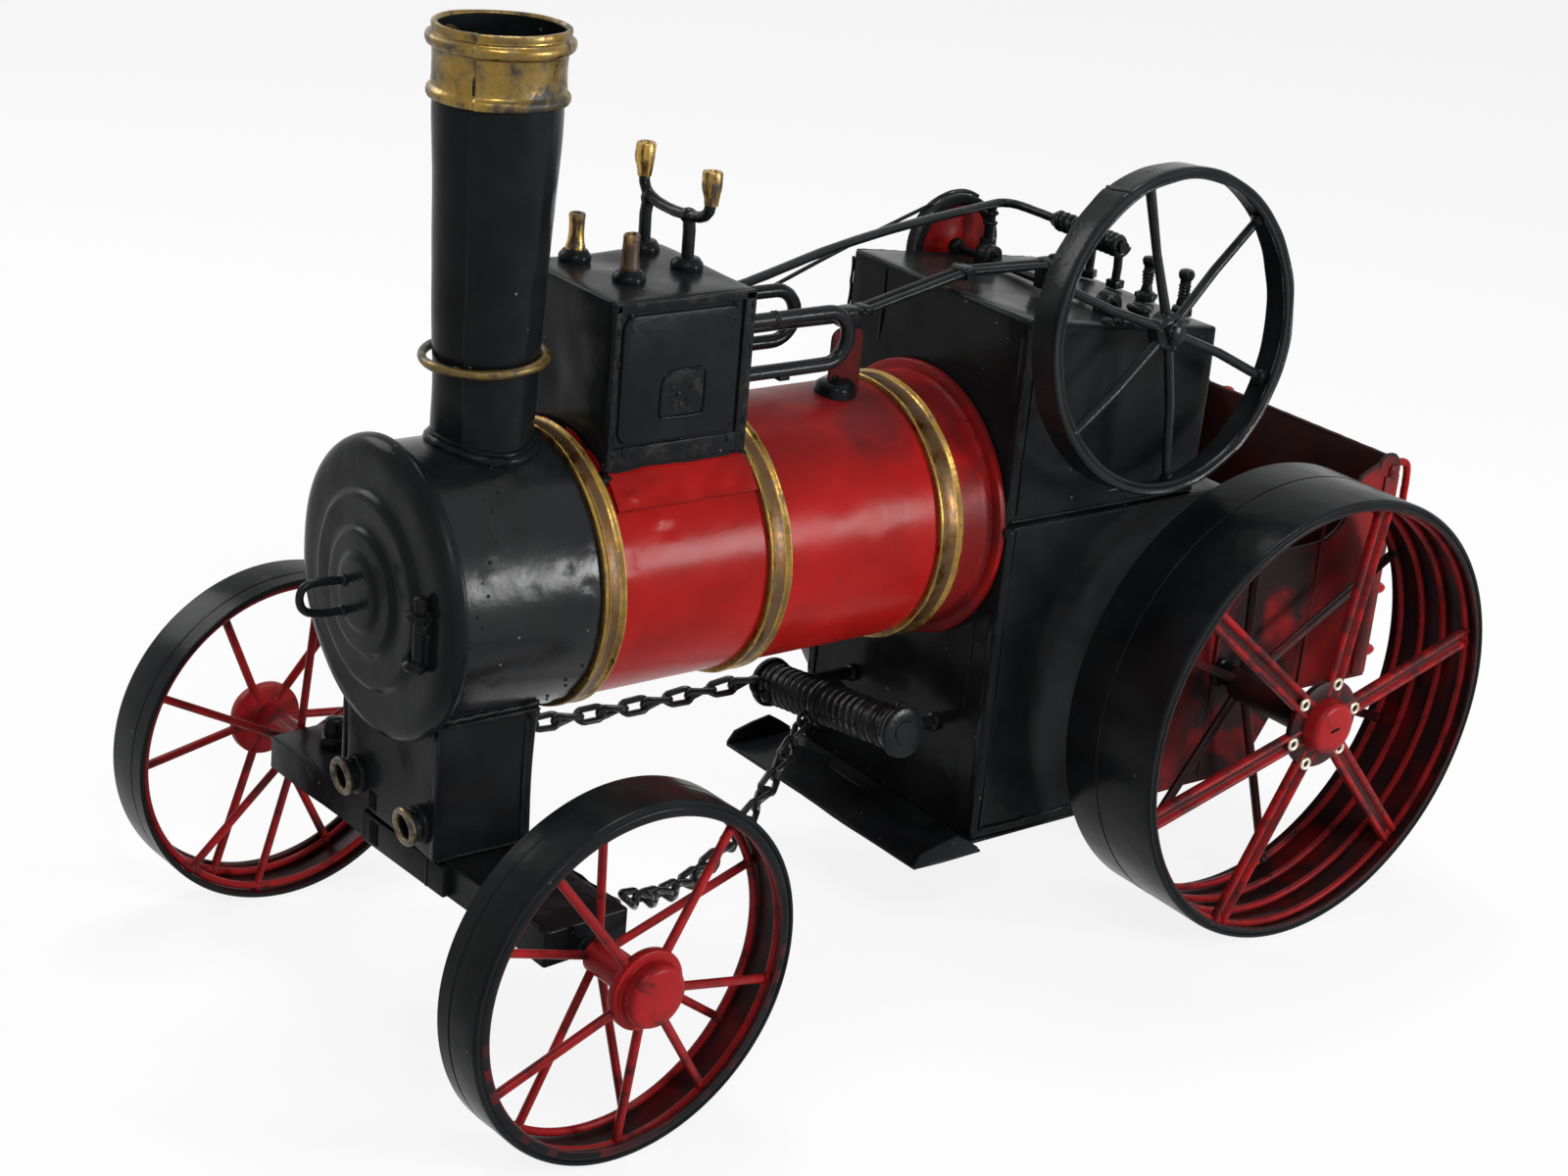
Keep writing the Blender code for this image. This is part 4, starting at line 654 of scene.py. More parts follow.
def makeRearSpokes(name, place, side, body, node):
    look = rearWheel
    whole = bmesh.new()
    for x in look["rings"]:
        join(whole, hoop(look["ringRadius"], look["ringWire"], 140, 10), along("X", (side * x, 0, 0)))
    ringR, hubX, ringX = look["ringRadius"], look["half"] - 1.2, look["rings"][0]
    hubReach = 7.5
    length = ringR - hubReach
    lean = math.atan2(hubX - ringX, length)
    for angle in look["outer"]:
        strip = extruded(spokeSection, length)
        # the ridges face outwards, the length runs from the hub to the ring
        face = Matrix(((0, side, 0, 0), (0, 0, 1, 0), (1, 0, 0, 0), (0, 0, 0, 1)))
        turn = Matrix.Rotation(math.radians(angle), 4, "X") @ moved((side * hubX, hubReach, 0))
        turn = turn @ Matrix.Rotation(side * lean, 4, "Z")
        # the groove down the middle of each strip takes the darker red, painted shade in the recess
        for flat in strip.faces:
            centre = flat.calc_center_median()
            flat.material_index = 3 if abs(centre.x) < 0.75 * mm and centre.y > 0 else 0
        join(whole, strip, turn @ face, None)
        join(whole, blob(radial(angle, ringR - 0.6, side * (ringX - 0.3)), 1.9, (0.6, 1, 1)))
    for angle in look["inner"]:
        inner = radial(angle, 4.0, side * (-look["half"] + 2.4))
        outer = radial(angle, ringR, side * look["rings"][-1])
        # the inner spokes take the darker red, painted shade for their place inside the wheel
        join(whole, bentRod([inner, inner.lerp(outer, 0.5), outer], 1.25, 10, uneven=0.06), finish=3)
        join(whole, blob(outer, 1.8, (0.9, 1, 1)), finish=3)
    h = look["half"]
    hub = [(0, h + 4.2), (5.2, h + 4.2), (6.1, h + 4.05), (6.8, h + 3.5), (7.15, h + 2.6), (7.35, h + 0.6),
           (7.45, h + 0.1), (11.5, h + 0.0), (11.8, h - 0.2), (11.9, h - 0.8), (11.8, h - 1.7),
           (11.4, h - 2.0), (5.3, h - 2.2), (5.0, h - 2.6), (5.0, -h + 1.4), (4.7, -h + 1.0), (3.3, -h + 1.0),
           (3.3, h + 2.0), (0, h + 2.0)]
    cup = turned(hub, 64, side=side)
    # the hub's flange and inner sleeve take the darker red, painted shade for the dark gaps round the cap
    for flat in cup.faces:
        centre = flat.calc_center_median() / mm
        inShade = math.hypot(centre.x, centre.y) > 7.6 or abs(centre.z) < h - 2.5
        flat.material_index = 3 if inShade else 0
    join(whole, cup, along("X"), None)
    # a near-black bar of painted shade for the cap's slot, and near-black discs of painted shade in the
    # eyelets' holes
    slot = block((0.25, 3.0, 0.8), (side * (h + 4.2), 0, 0), 0.12, 2)
    join(whole, slot, Matrix.Rotation(math.radians(12), 4, "X"), 1)
    ring = [(1.75, 0.0), (1.75, 0.35), (1.55, 0.62), (1.25, 0.70), (0.95, 0.58), (0.80, 0.30), (0.80, 0.0)]
    for angle in look["outer"]:
        spot = radial(angle, 11.0, side * (hubX + 1.15))
        join(whole, turned(ring, 28, closed=True, side=side), along("X", spot), 2)
        join(whole, turned([(0.0, 0.2), (0.85, 0.2), (0.85, -0.4), (0.0, -0.4)], 20, side=side),
             along("X", spot), 1)
    bmesh.ops.transform(whole, matrix=place, verts=whole.verts)
    return makePiece(name, whole, (wheelRed, paintedHoleShade, eyeletMetal, oversprayAndShadeRed), body, (node,))


for sideName, side in (("near", 1), ("far", -1)):
    place = steerPlace @ moved((side * frontWheel["away"], 0, frontWheel["radius"]))
    body = "front_wheel_" + sideName
    makeRim("frontRim_" + sideName, frontWheel, -2.4, place, side, body, body + "_rim")
    makeFrontSpokes("frontSpokes_" + sideName, place, side, *frontWheel[sideName], body, body + "_spokes")
    place = moved((side * rearWheel["away"], rearWheel["back"], rearWheel["radius"]))
    body = "rear_wheel_" + sideName
    makeRim("rearRim_" + sideName, rearWheel, -3.7, place, side, body, body + "_rim")
    makeRearSpokes("rearSpokes_" + sideName, place, side, body, body + "_spokes")
print("wheels done")


# boiler, lid and bands

def around(vert, centre, axis):
    # angle and distance of a vertex round an axis through the centre
    rest = vert.co / mm - Vector(centre)
    a, b = (rest.x, rest.z) if axis == "Y" else (rest.x, rest.y) if axis == "Z" else (rest.y, rest.z)
    return math.degrees(math.atan2(b, a)), math.hypot(a, b)


def lapSeam(whole, centre, axis, angle, lift, spread=14, least=0.0):
    # the sheet laps over itself at one angle
    for vert in whole.verts:
        at, distance = around(vert, centre, axis)
        past = (at - angle) % 360
        if distance > least and 0 <= past < spread:
            push = lift * (1 - past / spread)
            out = vert.co / mm - Vector(centre)
            out["XYZ".index(axis)] = 0
            vert.co += out.normalized() * push * mm


def dent(whole, centre, reach, depth):
    # a soft knock in the sheet, or a boss where the depth is negative; both faces of the sheet move one way
    centre, reach, depth = Vector(centre) * mm, reach * mm, depth * mm
    near = [(vert, (vert.co - centre).length) for vert in whole.verts]
    near = [(vert, gap) for vert, gap in near if gap < reach]
    if not near:
        return
    push = min(near, key=lambda pair: pair[1])[0].normal.copy()
    for vert, gap in near:
        vert.co -= push * depth * (0.5 + 0.5 * math.cos(math.pi * gap / reach))


def addDents(whole, rows):
    for centre, reach, depth in rows:
        dent(whole, centre, reach, depth)


def stepped(profile, count):
    # more points between the given ones, for waves and dents in the sheet
    points = []
    for (r0, p0), (r1, p1) in zip(profile, profile[1:]):
        points += [(r0 + (r1 - r0) * i / count, p0 + (p1 - p0) * i / count) for i in range(count)]
    return points + [profile[-1]]


boiler = {"z": 108.6, "radius": 31.8, "front": -132.9, "seam": -94.5, "rear": 16.4, "flange": 34.7,
          "bands": ("boiler_band_front", "boiler_band_middle", "boiler_band_rear"),
          "bandSeams": (-112, -98, -104)}
boilerAxis = (0, 0, boiler["z"])
boilerPlace = along("Y", boilerAxis)


def onBoiler(angle, y, radius=31.8):
    # a point on the barrel, 0 degrees is the near side and 90 the top
    turn = math.radians(angle)
    return Vector((radius * math.cos(turn), y, boiler["z"] + radius * math.sin(turn)))


def makeSmokebox():
    whole = bmesh.new()
    low, high = boiler["front"], boxOf("smokebox")[1].y
    r = boiler["radius"]
    profile = [(0, low), (r - 0.4, low)] + stepped([(r, low + 0.4), (r, high - 0.1)], 26)
    profile += [(r - 0.4, high), (0, high)]
    join(whole, turned(profile, 160), boilerPlace)
    whole.normal_update()
    lapSeam(whole, boilerAxis, "Y", -64, 0.35, 8, 30)
    for angle, y, reach, depth in ((31, -124, 1.9, -0.35), (22, -125, 2.2, -0.3), (52, -122, 1.8, -0.3),
                                   (-3, -126, 1.7, -0.4), (30, -99.5, 1.9, -0.3), (12, -101, 2.0, 0.35),
                                   (4, -99, 2.2, -0.3), (-6, -97.5, 1.7, 0.3), (20, -106, 1.5, 0.45),
                                   (14, -115, 1.2, 0.3), (-24, -122, 1.6, 0.3), (40, -112, 3.0, 0.2),
                                   (-62, -104, 6.0, 0.7), (-50, -97, 4.0, -0.4), (150, -110, 5.0, 0.5),
                                   (170, -101, 4.0, 0.4)):
        dent(whole, onBoiler(angle, y), reach, depth)
    handMade(whole, 0.12, 60, 3.1)
    for i in range(60):
        spot = onBoiler((i * 137.5) % 360, -131.5 + (i * 61.8) % 35, r)
        join(whole, blob(spot, 0.28 + 0.32 * ((i * 0.377) % 1) ** 3, level=1))
    return makePiece("smokeboxShell", whole, (roundEnamel,), "chassis", ("smokebox",))


def makeLid():
    whole = bmesh.new()
    profile = [(31.0, -132.3), (34.0, -132.3), (34.3, -132.45), (34.4, -132.8), (34.4, -133.4),
               (34.2, -134.2), (33.8, -135.0), (33.1, -135.8), (32.1, -136.4), (30.9, -136.8), (29.4, -137.0),
               (27.0, -137.05), (24.0, -137.1), (23.0, -137.25), (22.45, -137.6), (22.15, -138.1),
               (21.8, -138.5), (21.2, -138.75), (20.3, -138.8), (17.0, -138.6), (15.2, -138.6),
               (14.6, -138.8), (14.25, -139.2), (14.0, -139.6), (13.6, -139.9), (12.9, -140.0),
               (10.2, -139.85), (9.2, -139.95), (8.7, -140.2), (8.4, -140.55), (7.9, -140.75), (6.5, -140.8),
               (0, -140.8)]
    join(whole, turned(profile, 144), boilerPlace)
    handMade(whole, 0.3, 70, 5.3)
    return makePiece("pressedLid", whole, (blackEnamel,), "chassis", ("smokebox_door",))


def makeLidFittings():
    whole = bmesh.new()
    path = [(-5.2, -140.2, 109.6), (-5.2, -145.5, 110.2), (-5.3, -150.2, 110.0), (-5.4, -151.6, 107.2),
            (-5.3, -150.4, 103.6), (-5.2, -146.0, 102.6), (-5.0, -140.2, 102.6)]
    join(whole, bentRod(softened(path, 3), 0.95, 14, uneven=0.05))
    for z in (109.6, 102.6):
        join(whole, blob((-5.1, -140.9, z), 1.45, (1, 0.6, 1)))
    makePiece("lidHandle", whole, (blackWire,), "chassis", ("door_handle",))
    whole = bmesh.new()
    join(whole, bar((25.0, -138.9, 99.5), (25.0, -138.9, 115.0), 1.45, 16))
    join(whole, turned(((0, 113.2), (2.0, 113.2), (2.7, 112.8), (2.9, 112.2), (2.7, 111.6), (2.0, 111.3),
                        (0, 111.3)), 24), moved((24.4, -139.1, 0)))
    join(whole, blob((25.0, -139.0, 115.6), 1.7, (1, 1, 0.9)))
    join(whole, blob((25.3, -138.6, 109.5), 2.0, (1, 0.8, 0.7)))
    join(whole, turned(((0, 102.2), (2.2, 102.1), (2.9, 101.5), (3.0, 100.6), (2.6, 99.9), (1.8, 99.6),
                        (0, 99.6)), 24), moved((24.3, -139.0, 0)))
    for x in (21.4, 23.6):
        join(whole, blob((x, -139.6, 100.9), 1.25))
    join(whole, block((2.0, 1.6, 13.0), (25.9, -137.6, 107.0), 0.5))
    return makePiece("lidHinge", whole, (blackEnamel,), "chassis", ("door_hinge",))


def makeBarrel():
    whole = bmesh.new()
    r, low = boiler["radius"], boiler["seam"] + 0.3
    high, out = boiler["rear"], boiler["flange"]
    profile = [(0, low), (r - 0.3, low)] + stepped([(r, low + 0.3), (r, high - 3.4)], 60)
    profile += [(r + 0.25, high - 3.0), (r + 0.45, high - 2.3), (out - 0.5, high - 2.1),
                (out - 0.1, high - 1.8), (out, high - 1.2), (out - 0.1, high - 0.4), (out - 0.5, high),
                (0, high)]
    join(whole, turned(profile, 160), boilerPlace)
    whole.normal_update()
    for angle, y, reach, depth in ((33, -80, 3.4, -0.6), (29, -78.6, 2.6, 0.5), (16, -90.0, 1.1, 0.5),
                                   (21, -90.2, 1.1, 0.5), (-8, -70, 6, 0.25), (30, -30, 8, 0.25),
                                   (5, -20, 7, -0.2), (-30, -40, 7, 0.3), (48, 8, 5, 0.3), (150, -40, 7, 0.4),
                                   (170, -75, 6, 0.4)):
        dent(whole, onBoiler(angle, y), reach, depth)
    handMade(whole, 0.12, 45, 7.7)
    for angle in range(0, 360, 9):
        if angle not in (63, 72, 81, 90, 99, 108, 117):
            join(whole, blob(onBoiler(angle, high - 2.7, r + 0.35), 0.35, level=1))
    return makePiece("redBarrel", whole, (barrelRed,), "chassis", ("boiler_barrel",))


def makeBands():
    for number, node in enumerate(boiler["bands"]):
        low, high = boxOf(node)
        middle, half = middleOf(low.y, high.y), (high.y - low.y) / 2
        r = boiler["radius"] + 0.05
        section = [(r, -half), (r + 1.0, -half), (r + 1.25, -half + 0.2), (r + 1.3, -half + 0.5),
                   (r + 1.15, -half + 0.8), (r + 0.85, -half + 1.1), (r + 0.62, -half + 1.7), (r + 0.7, 0),
                   (r + 0.62, half - 1.7), (r + 0.85, half - 1.1), (r + 1.15, half - 0.8),
                   (r + 1.3, half - 0.5), (r + 1.25, half - 0.2), (r + 1.0, half), (r, half)]
        whole = bmesh.new()
        join(whole, turned([(a, b + middle) for a, b in section], 192, closed=True), boilerPlace)
        for face in whole.faces:
            if abs(face.calc_center_median().y / mm - middle) < half - 1.75:
                face.material_index = 1
        lapSeam(whole, boilerAxis, "Y", boiler["bandSeams"][number], 0.5, 10)
        handMade(whole, 0.22, 110, 11.0 + number)
        makePiece("brassBand_%d" % (number + 1), whole, (bandBrass, grooveBrass), "chassis", (node,))


makeSmokebox()
makeLid()
makeLidFittings()
makeBarrel()
makeBands()
print("boiler done")


# chimney

stack = {"y": -110.6, "foot": 140.4, "top": 230.5, "lowRadius": 11.4, "topRadius": 13.9, "seam": -56,
         "capLow": 212.0, "hoopRadius": 13.4, "hoopWire": 1.05, "hoopPlace": (-0.27, -0.36, 159.2),
         "hoopLean": 3}
stackAxis = (0, stack["y"], 0)
stackPlace = moved(stackAxis)


def stackRadius(z):
    share = min(1.0, max(0.0, (z - stack["foot"]) / (stack["capLow"] - stack["foot"])))
    return stack["lowRadius"] + (stack["topRadius"] - stack["lowRadius"]) * share ** 1.4


def makeChimney():
    whole = bmesh.new()
    levels = [130.0 + 2.6 * i for i in range(38)]
    top = stack["top"]
    profile = [(stackRadius(z), z) for z in levels if z < top - 0.5]
    profile += [(stackRadius(top) - 0.15, top), (stackRadius(top) - 0.65, top)]
    profile += [(stackRadius(z) - 0.8, z) for z in reversed(levels) if z < top - 0.5]
    join(whole, turned(profile, 128, closed=True), stackPlace)
    lapSeam(whole, stackAxis, "Z", stack["seam"], 0.45, 12, 11.2)
    whole.normal_update()
    for angle, z, reach, depth in ((-40, 152, 5, 0.5), (-75, 147, 4, 0.4), (-20, 190, 8, 0.4),
                                   (-60, 176, 7, 0.3), (100, 170, 8, 0.6)):
        turn = math.radians(angle)
        r = stackRadius(z)
        dent(whole, (r * math.cos(turn), r * math.sin(turn) + stack["y"], z), reach, depth)
    handMade(whole, 0.4, 55, 2.2)
    collar = []
    for i in range(72):
        turn = math.tau * i / 72
        x, y = 11.7 * math.cos(turn), 11.7 * math.sin(turn)
        collar.append(Vector((x, stack["y"] + y, boiler["z"] + math.sqrt(31.9 ** 2 - x * x) + 0.3)))
    join(whole, bentRod(collar, 1.2, 12, closed=True, uneven=0.3))
    skirt = [point + Vector((0, 0, 1.5)) - (point - Vector((0, stack["y"], point.z))) * 0.03
             for point in collar]
    join(whole, bentRod(skirt, 0.6, 10, closed=True, uneven=0.2))
    return makePiece("chimneyTube", whole, (blackEnamel,), "chassis", ("chimney",))


def makeCap():
    profile = [(13.3, 215.4), (14.4, 215.3), (14.9, 215.5), (15.2, 216.0), (15.25, 216.6), (15.15, 217.2),
               (14.8, 217.6), (14.5, 217.85), (14.3, 218.3), (14.2, 220), (14.25, 223), (14.4, 225.6),
               (14.6, 226.0), (15.1, 226.2), (15.6, 226.6), (15.85, 227.2), (15.9, 227.8), (15.75, 228.4),
               (15.35, 228.8), (14.9, 229.0), (14.6, 229.2), (14.5, 229.5), (14.6, 229.9), (14.7, 230.4),
               (14.6, 230.9), (14.3, 231.1), (13.9, 231.05), (13.6, 230.7), (13.5, 229.8), (13.3, 227.0)]
    whole = bmesh.new()
    join(whole, turned(profile, 144, closed=True), stackPlace)
    lapSeam(whole, stackAxis, "Z", stack["seam"] + 6, 0.7, 26, 13.8)
    handMade(whole, 0.35, 95, 4.4)
    return makePiece("brassCap", whole, (antiqueBrass,), "chassis", ("chimney_cap",))


def makeHoop():
    whole = bmesh.new()
    place = stackPlace @ moved(stack["hoopPlace"]) @ Matrix.Rotation(math.radians(stack["hoopLean"]), 4, "X")
    join(whole, hoop(stack["hoopRadius"], stack["hoopWire"], 96, 14), place)
    for angle in (35, 130, -60):
        turn = math.radians(angle)
        spot = (12.5 * math.cos(turn), stack["y"] + 12.5 * math.sin(turn), stack["hoopPlace"][2] - 0.3)
        join(whole, blob(spot, 1.1, (1, 1, 0.8)))
    handMade(whole, 0.3, 150, 6.1)
    return makePiece("chimneyHoop", whole, (darkBrass,), "chassis", ("chimney_hoop",))


makeChimney()
makeCap()
makeHoop()
print("chimney done")


# flywheel, shaft and pulley

crank = {"x": 43.9, "y": 51.5, "z": 160.4, "radius": 39.6, "half": 4.2, "sheet": 1.2, "lip": 3.0,
         "lean": -5.6, "spokes": (158, 103, 40, -24, -84, -142)}
crankPlace = moved((crank["x"], crank["y"], crank["z"])) @ Matrix.Rotation(math.radians(crank["lean"]), 4,
                                                                           "Y")


def makeFlywheel():
    whole = bmesh.new()
    r, h, s, lip = crank["radius"], crank["half"], crank["sheet"], crank["lip"]
    section = [(r - s, -h), (r - 0.3, -h), (r, -h + 0.3), (r - 0.04, -h + 1.6), (r - 0.12, -0.8),
               (r - 0.05, h - 2.0), (r, h - 0.7), (r - 0.15, h - 0.25), (r - 0.55, h), (r - 1.3, h - 0.06),
               (r - 1.7, h - 0.3), (r - 2.1, h - 0.08), (r - lip + 0.5, h), (r - lip + 0.1, h - 0.25),
               (r - lip, h - 0.7), (r - lip + 0.2, h - 1.15), (r - s - 0.4, h - 1.3), (r - s, h - 1.7)]
    join(whole, turned(section, 168, closed=True), along("X"))
    # the strip's end laps over its start
    lapSeam(whole, (0, 0, 0), "X", 118, 0.5, 9, r - s - 0.4)
    lap = bentRod([radial(118, r + 0.15, x) for x in (-h + 0.3, -1.2, 1.4, h - 0.3)], 0.42, 8, uneven=0.15)
    join(whole, lap)
    for angle in crank["spokes"]:
        inner, outer = radial(angle, 2.0, 0.6), radial(angle, r - s + 0.2, -0.6)
        bend = radial(angle + 2.0, r * 0.5, 0.1)
        join(whole, bentRod([inner, bend, outer], 1.2, 12, uneven=0.12))
        join(whole, blob(radial(angle, r - s - 0.6, -0.5), 1.9, (1, 1, 1)))
        join(whole, blob(radial(angle + 9, 4.0, 1.2), 1.2))
    hub = [(0, 4.8), (1.6, 4.8), (2.2, 4.5), (2.5, 3.8), (2.6, 2.6), (4.2, 2.2), (4.6, 1.8), (4.6, -1.8),
           (4.2, -2.3), (2.7, -2.8), (2.4, -4.0), (0, -4.0)]
    join(whole, turned(hub, 40), along("X"))
    nut = block((2.2, 5.0, 5.0), (3.0, 0, 0), 0.6)
    join(whole, nut, Matrix.Rotation(math.radians(24), 4, "X"))
    handMade(whole, 0.35, 120, 8.3)
    bmesh.ops.transform(whole, matrix=crankPlace, verts=whole.verts)
    return makePiece("sideFlywheel", whole, (blackWire,), "flywheel", ("flywheel",))


def makePulley():
    whole = bmesh.new()
    low, high = boxOf("belt_pulley")
    middle, half, r = middleOf(low, high), (high.x - low.x) / 2, (high.z - low.z) / 2
    rim = [(r - 2.6, -half + 0.3), (r - 2.2, -half), (r - 0.4, -half), (r, -half + 0.35),
           (r - 0.15, -half + 0.8), (r - 0.75, -0.3), (r - 0.75, 0.3), (r - 0.15, half - 0.8),
           (r, half - 0.35), (r - 0.4, half), (r - 2.2, half), (r - 2.6, half - 0.3)]
    join(whole, turned(rim, 72, closed=True), along("X"), 1)
    disc = [(0, half - 0.7), (4.0, half - 0.7), (4.6, half - 0.9), (r - 2.4, half - 1.0),
            (r - 2.4, -half + 1.0), (4.6, -half + 0.9), (4.0, -half + 0.7), (0, -half + 0.7)]
    join(whole, turned(disc, 64), along("X"), 0)
    join(whole, turned(((0, half + 1.5), (1.7, half + 1.4), (2.2, half + 0.6), (2.4, half - 0.8),
                        (0, half - 0.8)), 24), along("X"), 1)
    bmesh.ops.transform(whole, matrix=moved(middle), verts=whole.verts)
    return makePiece("beltPulley", whole, (barrelRed, blackWire), "flywheel", ("belt_pulley",))


makeFlywheel()
makePulley()
print("flywheel done")


# steam chest

sheetThickness = 0.9 * mm
chest = {"half": 18.9, "front": -90.5, "rear": -53.0, "top": 174.0, "low": 128.6, "gear": 172.4}


def sheetBox(low, high, edge, cuts, without=()):
    # a box of folded sheet with enough faces for waves and dents, less the sides named in without
    part = bmesh.new()
    bmesh.ops.create_cube(part, size=1.0)
    low, high = Vector(low) * mm, Vector(high) * mm
    bmesh.ops.scale(part, vec=high - low, verts=part.verts)
    bmesh.ops.translate(part, vec=(high + low) / 2, verts=part.verts)
    part.normal_update()
    gone = [face for face in part.faces if any(face.normal.dot(Vector(way)) > 0.9 for way in without)]
    bmesh.ops.delete(part, geom=gone, context="FACES")
    rounded(part, part.edges, edge, 3)
    for way in range(3):
        axis = Vector((0, 0, 0))
        axis[way] = 1
        span = high[way] - low[way]
        for i in range(1, cuts + 1):
            place = low[way] + span * i / (cuts + 1)
            point = Vector((0, 0, 0))
            point[way] = place
            bmesh.ops.bisect_plane(part, geom=list(part.verts) + list(part.edges) + list(part.faces),
                                   plane_co=point, plane_no=axis, dist=0.00001)
    return part


def addSheet(whole, part):
    # gives an open box its thickness
    bmesh.ops.recalc_face_normals(part, faces=part.faces)
    bmesh.ops.solidify(part, geom=list(part.faces), thickness=sheetThickness)
    join(whole, part, dist=0.000001)


def makeChest():
    whole = bmesh.new()
    look = chest
    join(whole, sheetBox((-look["half"], look["front"], look["low"]),
                         (look["half"], look["rear"], look["top"]), 0.7, 13), dist=0.000002)
    whole.normal_update()
    addDents(whole, (((-4, look["front"], 152), 8, 0.8), ((6, look["front"], 160), 5, 0.4),
                     ((-9, -72, look["top"]), 9, 0.6), ((look["half"], -58, 163), 6, 0.3),
                     ((-18.9, -70, 155), 8, 0.6), ((2, look["rear"], 150), 7, 0.5)))
    handMade(whole, 0.5, 55, 12.1)
    x = look["half"]
    # the stamped plate on the near side, a raised field with rounded corners, its frame and a square mark
    part = block((1.7, 31.2, 29.4), (x + 0.05, -72.6, 156.3), 0)
    rounded(part, edgesAlongX(part), 3.2, 6)
    faces = [f for f in part.faces if f.calc_center_median().x > (x + 0.73) * mm]
    rounded(part, {e for f in faces for e in f.edges}, 0.45, 3)
    join(whole, part)
    addStrips(whole, (((x - 0.2, -90.6, 136.0), (x + 0.75, -88.9, 173.6)),
                      ((x - 0.2, -90.6, 171.8), (x + 0.75, -53.4, 173.9)),
                      ((x - 0.2, -56.2, 136.0), (x + 0.75, -53.2, 173.6)),
                      ((x - 0.2, -90.4, 136.4), (x + 0.7, -53.4, 140.9))), 0.3, 3)
    path = [(x + 1.05, y, z) for y, z in ((-77.5, 151.6), (-77.5, 147.2), (-76.6, 146.7), (-66.8, 146.6),
                                          (-65.8, 147.4), (-65.8, 156.6), (-66.8, 157.6), (-75.0, 157.5),
                                          (-77.4, 155.6), (-77.5, 151.6))]
    join(whole, block((0.9, 11.0, 10.2), (x + 0.62, -71.7, 152.1), 0.3))
    join(whole, bentRod(softened(path, 2), 0.38, 8, uneven=0.12))
    for y, z, size in ((-74.6, 153.6, 0.9), (-72.8, 151.9, 1.2), (-70.4, 150.4, 1.1), (-72.4, 149.4, 0.9),
                       (-74.4, 150.6, 0.8), (-69.6, 153.6, 0.8), (-71.6, 154.8, 0.7)):
        join(whole, blob((x + 1.0, y, z), size * 0.8, (0.5, 1, 1), 0.5))
    for y in (-89.4, -86.2, -58.6, -54.0):
        for z in (139.5, 143.5, 160.5, 167.8, 170.6):
            join(whole, blob((x + 0.8, y + 0.3 * math.sin(z * 3 + y), z), 0.5, (0.5, 0.8, 1.7), 0.6))
    for spot, size in (((x - 0.3, look["front"] + 0.3, 133.4), 1.9),
                       ((x - 0.2, look["front"] + 0.4, 136.2), 1.2),
                       ((x - 0.4, look["rear"] - 0.4, 134.6), 1.5),
                       ((x - 0.2, look["front"] + 0.5, 173.0), 1.1)):
        join(whole, blob(spot, size, (0.9, 0.9, 1.1), 0.5))
    line = [(x + 0.05, look["front"] + 1 + i * 2.2, 172.6 + 0.2 * math.sin(i * 1.9)) for i in range(17)]
    join(whole, bentRod(line, 0.5, 8, uneven=0.22))
    nut = [(0, 2.7), (2.4, 2.7), (2.9, 2.5), (3.2, 2.0), (3.6, 1.6), (3.8, 1.0), (3.75, 0.2), (3.6, -0.6),
           (0, -0.6)]
    for spot in ((5.0, -78.0), (-14.0, -80.0), (0.0, -59.0), (-16.0, -60.0)):
        join(whole, turned(nut, 32), moved((*spot, look["top"])))
    return makePiece("steamChestBox", whole, (blackEnamel,), "chassis", ("steam_chest",), 50)


def makeSaddle():
    whole = bmesh.new()
    low, high = boxOf("chest_saddle")
    inner, outer = boiler["radius"] + 0.05, boiler["radius"] + 0.95
    part = bmesh.new()
    halfArc = 52
    section = [(inner, low.y), (outer, low.y), (outer, high.y), (inner, high.y)]
    rows = stepped(section + section[:1], 22)[:-1]
    verts = [part.verts.new((a * mm, 0, b * mm)) for a, b in rows]
    edges = [part.edges.new((verts[i], verts[(i + 1) % len(verts)])) for i in range(len(verts))]
    bmesh.ops.rotate(part, cent=(0, 0, 0), matrix=Matrix.Rotation(math.radians(-90 - halfArc), 3, "Z"),
                     verts=verts)
    bmesh.ops.spin(part, geom=verts + edges, cent=(0, 0, 0), axis=(0, 0, 1), angle=math.radians(2 * halfArc),
                   steps=60)
    bmesh.ops.holes_fill(part, edges=[e for e in part.edges if e.is_boundary], sides=0)
    join(whole, part, boilerPlace)
    whole.normal_update()
    for angle, y, reach, depth in ((43, -84.5, 3.0, -0.9), (46, -79.6, 2.6, -0.8), (43, -76.0, 2.4, 0.9),
                                   (45, -61, 3.4, -0.7), (42, -55.0, 2.6, -0.8), (43, -87.4, 2.0, -0.9),
                                   (42, -68, 4, 0.6)):
        dent(whole, onBoiler(angle, y, 32.6), reach, depth)
    handMade(whole, 0.6, 120, 9.9)
    return makePiece("saddlePlate", whole, (barrelRed,), "chassis", ("chest_saddle",))


def studProfile(tall):
    return [(0, -0.3), (2.1, -0.3), (2.15, 0.5), (1.95, 0.9), (1.85, 1.8), (1.8, 3.4), (1.85, tall - 1.4),
            (1.9, tall - 0.5), (1.65, tall - 0.05), (1.2, tall - 0.05), (0.95, tall - 0.6), (0, tall - 0.7)]


def capProfile(tall):
    return [(0, -0.9), (1.6, -0.9), (1.75, 0.4), (2.0, 1.6), (2.25, 2.6), (2.35, 3.6), (2.35, tall - 0.5),
            (2.2, tall - 0.1), (1.85, tall), (1.3, tall - 0.1), (1.1, tall - 0.6), (0, tall - 0.7)]


